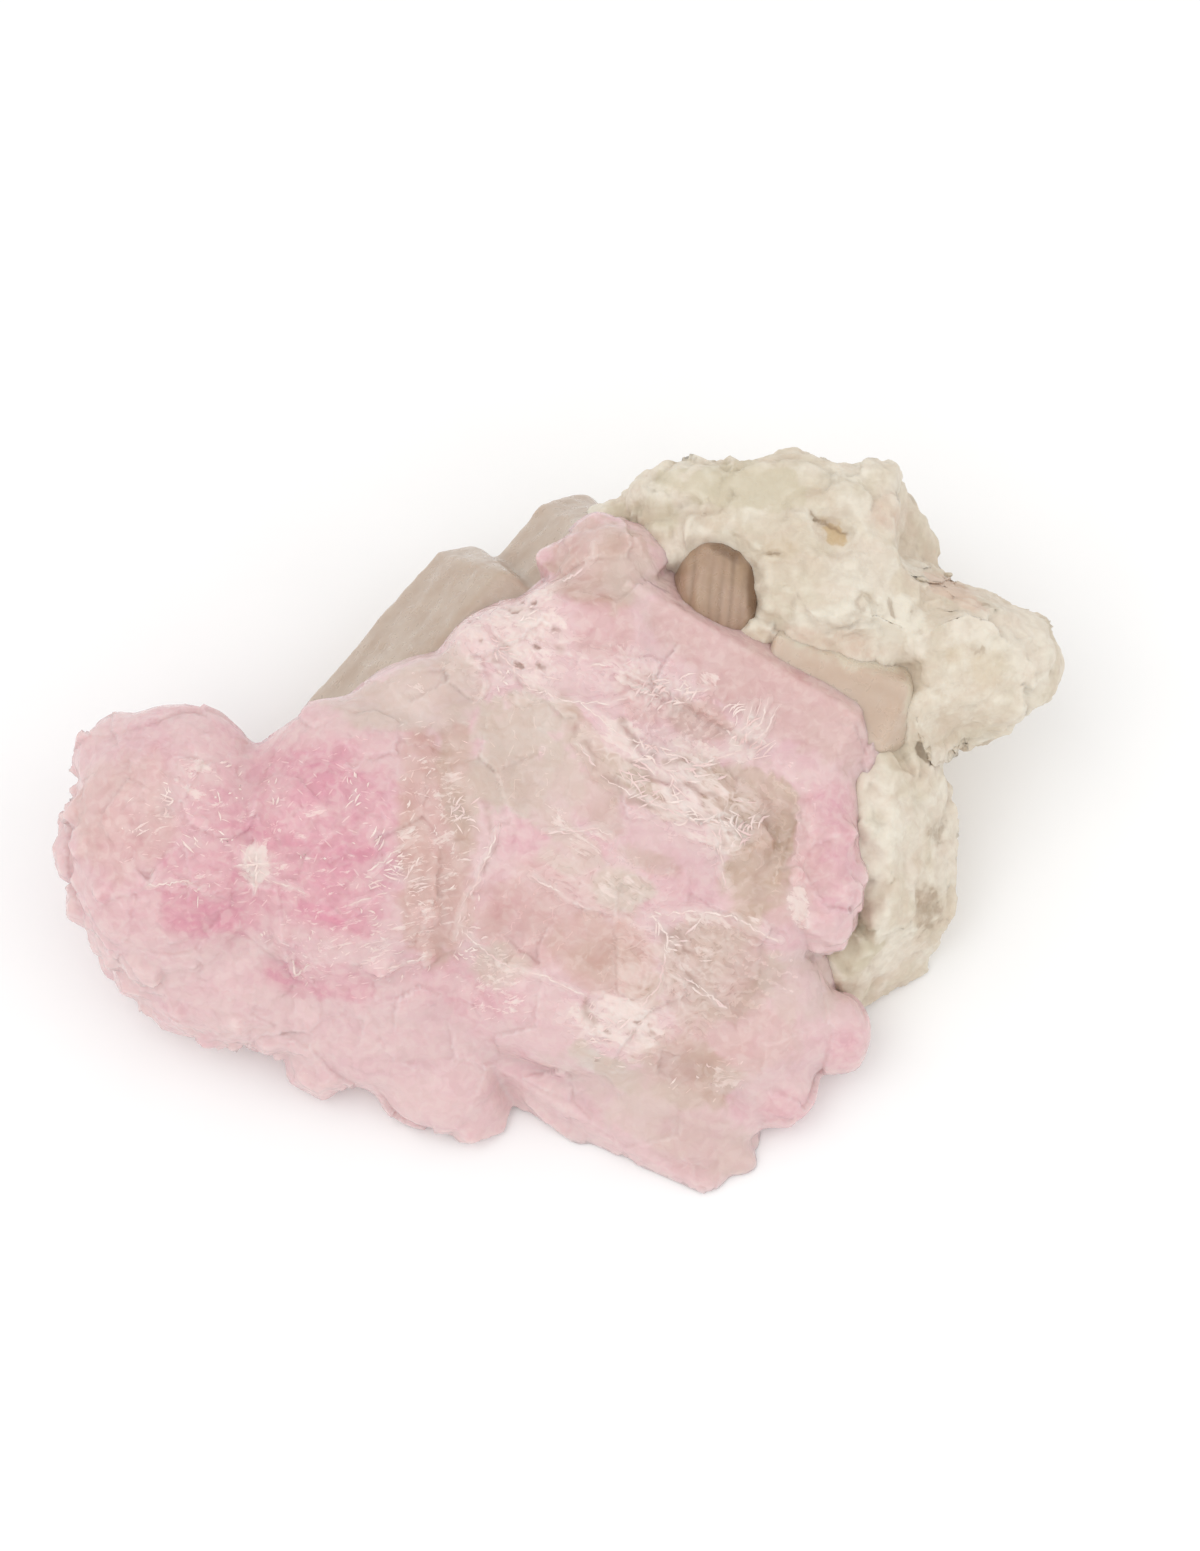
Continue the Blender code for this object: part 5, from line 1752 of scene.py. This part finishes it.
@dataclass
class FeldsparMatrix:
    """The cream rock that carries the crystals: knobs, creases, broken faces and pits.

    Attributes:
        voxel: Grain of the skin, in millimetres.
        most_triangles: The most that the piece may have.
        knob: Width of a knob, in millimetres.
        pebble: Width of the small bumps on the knobs.
        chip: Width of the broken faces on the sides.
        clefts: Dark clefts, with their depth as a height below 0; their darkness is painted shade.
        ochres: Ochre stains.
        grimes: Dark stains.
        rosies: Pinkish stains.
        chalks: Whiter places.
        grey_green_and_shade_patches: Grey-green places, and painted shade along the crown's top
            edges.
    """

    voxel: float = 0.3
    quick_voxel: float = 0.45
    most_triangles: int = 150000
    knob: float = 3.8
    pebble: float = 1.6
    chip: float = 2.4
    clefts: tuple[Seam, ...] = (
        Seam(((18.7, 22.6), (20.2, 21.6), (21.4, 20.9)), 0.24, -0.4),
        Seam(((22.0, 15.0), (22.4, 16.4), (23.4, 16.0), (24.2, 15.0)), 0.2, -0.2),
        Seam(((25.6, 16.6), (26.5, 15.8), (26.1, 14.8)), 0.2, -0.16),
        Seam(((15.6, 19.8), (16.4, 19.4)), 0.3, -0.3),
        Seam(((8.0, 22.9), (10.0, 23.3), (12.0, 22.9)), 0.3, -0.16),
        Seam(((29.0, 17.6), (31.0, 16.6), (32.6, 15.4)), 0.4, -0.2),
    )
    ochres: tuple[Patch, ...] = patches(
        (20.4, 21.2, 1.5, 0.8, -44, 0.9, 0.9), (32.0, 11.0, 1.6, 1.6, 30, 0.4, 0.6),
        (29.2, 12.0, 0.9, 0.9, 0, 0.35, 0.6), (16.4, 19.6, 1.3, 1.0, 0, 0.4, 0.6),
        (13.6, 13.8, 3.4, 1.6, -34, 0.35),
    )
    grimes: tuple[Patch, ...] = patches(
        (28.4, -0.9, 1.2, 1.4, 0, 0.6, 0.9), (27.6, -7.0, 1.2, 2.0, 0, 0.6, 0.9),
        (22.6, -8.8, 1.6, 1.4, 0, 0.4, 0.9), (31.2, 12.4, 0.6, 0.5, 0, 0.5, 0.6),
        (24.6, 15.6, 0.3, 1.1, 16, 0.6, 0.5), (26.4, 15.4, 0.4, 0.9, -20, 0.45, 0.6),
        (8.4, 22.8, 3.0, 0.7, -12, 0.35),
    )
    rosies: tuple[Patch, ...] = patches(
        (29.6, 16.8, 2.8, 1.2, -28, 0.9), (24.6, 22.6, 2.0, 1.8, 0, 0.5),
        (20.0, 13.0, 6.0, 1.4, -8, 0.55), (22.0, 2.4, 2.0, 3.2, 0, 0.5),
        (30.0, 8.6, 3.0, 1.8, 0, 0.3),
    )
    chalks: tuple[Patch, ...] = patches(
        (25.0, 14.8, 2.6, 2.4, 0, 0.8), (27.2, 8.0, 1.6, 2.8, 0, 0.5),
        (20.6, 16.4, 5.0, 1.8, -10, 0.2), (31.4, 10.2, 5.0, 4.4, 0, 0.5, 0.6),
        (23.0, -1.0, 2.6, 5.4, 0, 0.6),
    )
    # grey-green places, and painted shade along the crown's top edges
    grey_green_and_shade_patches: tuple[Patch, ...] = patches(
        (21.8, -9.4, 2.6, 2.4, 0, 1.0), (24.4, 5.0, 2.4, 2.6, 0, 0.35),
        (6.6, 22.4, 3.6, 1.8, 0, 0.7), (13.6, 24.6, 7.0, 2.2, -4, 0.85),
        (20.0, 24.6, 3.4, 1.4, 0, 0.4),
    )

    def build(self) -> Piece:
        """Models the rock on the display face."""
        rock = joined(round_bodies(MATRIX_LUMPS), "feldspar_matrix")
        fuse(rock, self.voxel, 10)
        self.roughen(rock)
        self.paint(rock)
        thin_to(rock, self.most_triangles)
        return rock

    def roughen(self, rock: Piece) -> None:
        """Folds, creases, breaks and pits the rock's skin."""
        skin = Skin(rock)
        swell = Grain(11).fractal(skin.points, 7.0, 3)
        knob, _, slope = Grain(12).cells(skin.points + 1.2 * self.sway(skin, 3.0), self.knob)
        skin.push(0.8 * swell + 0.7 * (0.5 - knob) + 0.5 * slope)
        for broken in MATRIX_BREAKS:
            broken.flatten(skin)
        for hollow in MATRIX_HOLLOWS:
            hollow.press(skin)
        skin.write()
        knob, _, slope = Grain(7).cells(skin.points + 0.5 * self.sway(skin, 1.2), self.pebble)
        fine = 0.14 * (0.5 - knob) + 0.12 * slope + 0.22 * Grain(2).fractal(skin.points, 2.4, 4)
        fine -= 0.22 * Grain(14).ridges(skin.points, 4.6, 4.0)
        chips = Grain(13).cells(skin.points + self.sway(skin, 2.0), self.chip)[2]
        skin.push(fine + np.min(self.cut(skin), axis=0) * skin.front)
        skin.push(0.3 * chips * (1.0 - skin.front))
        skin.write()

    def sway(self, skin: Skin, size: float) -> Values:
        """Moves that bend a pattern, for each point."""
        return np.stack([Grain(k).smooth(skin.points, size) for k in (51, 52, 53)], axis=1)

    def cut(self, skin: Skin) -> list[Values]:
        """The depth of each cleft at each point, in millimetres."""
        face = skin.face + 0.7 * self.sway(skin, 1.3)[:, :2]
        return [seam.height * seam.nearness(face) for seam in self.clefts]

    def paint(self, rock: Piece) -> None:
        """Paints the masks that the finish reads."""
        skin = Skin(rock)
        fray = skin.fray(6)
        edge = skin.blurred(skin.crests(), 2)
        deep = np.clip(-3.4 * np.min(self.cut(skin), axis=0), 0.0, 1.0) * skin.front
        # painted shade: creases and cleft depths darken the rock through the grime mask
        creases = 0.25 * smooth_step(0.006, 0.05, -edge)
        grime_and_crease_shade = np.maximum(most(self.grimes, skin.face, fray), creases)
        skin.paint("grime_and_crease_shade", np.maximum(grime_and_crease_shade, 0.8 * deep))
        skin.paint("ochre", most(self.ochres, skin.face, fray) * skin.front)
        for name, stains in (("rosy", self.rosies), ("grey_green_and_shade", self.grey_green_and_shade_patches), ("chalk", self.chalks)):
            skin.paint(name, most(stains, skin.face, fray))
        # painted highlight: marks the crests for the finish to lighten
        skin.paint("edge", smooth_step(0.004, 0.04, edge))


@dataclass
class SmokyQuartz:
    """One group of smoky crystals."""

    name: str
    node: str
    finish: SmokyQuartzFinish
    crystals: tuple
    breaks: tuple = ()
    swellings: tuple[Lump, ...] = ()
    darks: tuple[Patch, ...] = ()
    rinds: tuple[Patch, ...] = ()
    voxel: float = 0.25
    soften: int = 16
    line_way: float = 50.0
    line_width: float = 1.1
    line_depth: float = 0.04
    fold: float = 0.12

    def build(self) -> Piece:
        """Models the crystals on the display face."""
        parts = []
        for index, given in enumerate(self.crystals):
            part = long_crystal(*given)
            if index < len(self.breaks):
                self.snap(part, *self.breaks[index])
            parts.append(part)
        group = joined([*parts, *round_bodies(self.swellings)], self.name)
        fuse(group, self.voxel, self.soften)
        skin = Skin(group)
        lines = Grain(31).smooth(skin.slanted(self.line_way), (20.0, self.line_width, 6.0))
        fold = Grain(8).fractal(skin.points, 4.5, 3)
        skin.push(self.line_depth * lines + self.fold * fold)
        skin.write()
        bare = np.zeros(len(skin.points))
        # the dark patches are painted shade; the rinds are the matrix's colour
        for name, stains in (("dark", self.darks), ("rind", self.rinds)):
            skin.paint(name, most(stains, skin.face, skin.fray(4)) if stains else bare)
        skin.paint("line", smooth_step(0.0, 0.45, -lines))
        return group

    def snap(self, part: Piece, place: Spot, normal: Spot) -> None:
        """Breaks a crystal off across a plane."""
        make_active(part)
        bpy.ops.object.mode_set(mode="EDIT")
        bpy.ops.mesh.select_all(action="SELECT")
        bpy.ops.mesh.bisect(
            plane_co=Vector(place) * MM, plane_no=normal, use_fill=True, clear_outer=True
        )
        bpy.ops.object.mode_set(mode="OBJECT")

    def dress(self, obj: Piece) -> None:
        """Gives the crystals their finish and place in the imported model."""
        dress(obj, self.finish.build(), (self.node,))


LEFT_SLAB = SmokyQuartz(
    name="smoky_slab_left",
    node="smoky_quartz_left",
    finish=SmokyQuartzFinish(
        "smoky_slab_finish", tone(190, 169, 151), tone(172, 150, 130), tone(203, 187, 171)
    ),
    crystals=(
        ((-0.2, 15.6, -14.0), (-17.0, -4.0, -14.0), 10.0, 0.3),
        ((6.4, 21.2, -12.5), (-5.0, 6.8, -12.5), 7.8, 0.1),
    ),
    breaks=(
        ((-7.0, 19.4, -10.0), (-0.05, 1.0, 0.25)),
        ((0.0, 23.0, -10.0), (0.0, 1.0, 0.3)),
    ),
    # painted shade at the slab's top and in a strip along its length
    darks=(Patch((4.0, 22.0), (2.0, 0.8), -10, 0.7), Patch((-9.0, 9.0), (1.6, 6.0), -40, 0.3)),
    fold=0.3,
)
BROWN_STUB = SmokyQuartz(
    name="smoky_stub_top",
    node="smoky_quartz_top",
    finish=SmokyQuartzFinish(
        "smoky_stub_finish",
        tone(175, 147, 119),
        tone(126, 97, 73),
        tone(187, 158, 140),
        lines=0.4,
    ),
    crystals=(((11.2, 10.6, -5.4), (12.4, 24.0, -5.8), 3.2, 0.2),),
    breaks=(((12.0, 19.6, -5.4), (0.1, 1.0, 0.16)),),
    swellings=(Lump("acorn", (11.8, 16.6, -4.6), (3.3, 4.0, 3.7), 8),),
    # painted shade: the stub's shaded right side and the rim below its broken top
    darks=(
        Patch((14.7, 16.8), (0.9, 3.6), 4, 1.0, 0.15),
        Patch((12.6, 19.8), (1.8, 0.8), -30, 0.8, 0.3),
    ),
    voxel=0.14,
    soften=10,
    line_way=84.0,
    line_width=0.6,
    line_depth=0.14,
)
RIGHT_CRYSTAL = SmokyQuartz(
    name="smoky_crystal_right",
    node="smoky_quartz_right",
    finish=SmokyQuartzFinish(
        "smoky_right_finish", tone(207, 184, 164), tone(192, 166, 144), tone(216, 200, 184)
    ),
    crystals=(((15.0, 11.2, -5.8), (27.4, 6.4, -6.4), 5.2, 0.22),),
    rinds=(
        Patch((19.4, 13.8), (7.4, 1.8), -22, 0.9, 0.7),
        Patch((26.9, 9.2), (1.4, 4.4), 0, 0.8, 0.7),
    ),
    # painted shade: the crystal is darker to its lower right
    darks=(Patch((23.6, 8.6), (2.6, 3.2), -20, 0.35, 0.4),),
    soften=24,
    line_way=-21.0,
)


@dataclass
class Studio:
    """Pale floor, soft lights and the camera."""

    aim: Face = (3.15, 3.19)
    distance: float = 379.0
    lens: float = 120.0
    floor_side: float = 4.0
    sky: float = 0.92

    def build(self) -> None:
        """Sets the floor, the lights, the world and the camera."""
        self.lay_floor()
        self.light_world()
        self.hang_light("key", (-0.4, -0.2, 0.8), 0.8, 1.9)
        self.hang_light("fill", (0.55, -0.3, 0.6), 0.8, 0.8)
        self.place_camera()

    def lay_floor(self) -> None:
        """A wide pale floor under the specimen."""
        deselect_all()
        bpy.ops.mesh.primitive_plane_add(size=self.floor_side, location=(0.0, 0.0, -0.0002))
        floor = bpy.context.object
        floor.name = "studio_floor"
        wiring, shader, material = principled("pale_floor")
        place = wiring.node("TexCoord").outputs["Object"]
        grain = wiring.node("TexNoise", Vector=place, Scale=90.0, Detail=2.0)
        colour = wiring.mix(grain.outputs[0], (0.93, 0.93, 0.93, 1.0), (0.96, 0.96, 0.96, 1.0))
        wiring.feed(shader, "Base Color", colour)
        shader.inputs["Roughness"].default_value = 0.9
        floor.data.materials.append(material)

    def light_world(self) -> None:
        """An even white surround."""
        world = bpy.data.worlds.new("studio_surround")
        world.use_nodes = True
        background = world.node_tree.nodes["Background"]
        background.inputs["Color"].default_value = (1.0, 0.995, 0.99, 1.0)
        background.inputs["Strength"].default_value = self.sky
        bpy.context.scene.world = world

    def hang_light(self, name: str, place: Spot, side: float, power: float) -> None:
        """Hangs one square soft light that looks at the specimen.

        Args:
            name: The light's name.
            place: Where it hangs, in metres.
            side: The side of its square, in metres.
            power: Its power in watts.
        """
        light = bpy.data.lights.new(name, "AREA")
        light.size = side
        light.energy = power
        lamp = bpy.data.objects.new(name, light)
        lamp.location = place
        lamp.rotation_euler = (-Vector(place)).to_track_quat("-Z", "Y").to_euler()
        bpy.context.scene.collection.objects.link(lamp)

    def place_camera(self) -> None:
        """Looks square on to the display face."""
        camera = bpy.data.cameras.new("portrait_camera")
        camera.lens = self.lens
        camera.clip_start = 0.01
        holder = bpy.data.objects.new("portrait_camera", camera)
        place = Matrix.Translation(FACE.point(*self.aim, self.distance))
        holder.matrix_world = place @ Matrix.Rotation(math.radians(FACE.lean), 4, "X")
        bpy.context.scene.collection.objects.link(holder)
        bpy.context.scene.camera = holder


def main() -> None:
    """Builds the specimen and the studio in order, and reports each piece."""
    logging.basicConfig(level=logging.INFO, format="%(name)s: %(message)s")
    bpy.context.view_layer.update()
    bpy.context.scene.view_settings.view_transform = "Standard"
    EFFECTS.build()
    rose = RoseQuartz()
    cluster = rose.build()
    etchings = rose.etch(cluster)
    rock = FeldsparMatrix().build()
    smoky = [(group, group.build()) for group in (LEFT_SLAB, BROWN_STUB, RIGHT_CRYSTAL)]
    for piece in (cluster, rock, *(obj for _, obj in smoky)):
        set_down(piece)
        trim_base(piece)
        piece.data.calc_loop_triangles()
        LOG.info("%s: %d triangles", piece.name, len(piece.data.loop_triangles))
    set_down(etchings)
    dress(cluster, PinkQuartzFinish().build(), ("rose_quartz",))
    dress(etchings, EtchedRidgeFinish().build(), ("rose_quartz",))
    dress(rock, CreamFeldsparFinish().build(), ("matrix",))
    for group, obj in smoky:
        group.dress(obj)
    Studio().build()


if __name__ == "__main__":
    main()
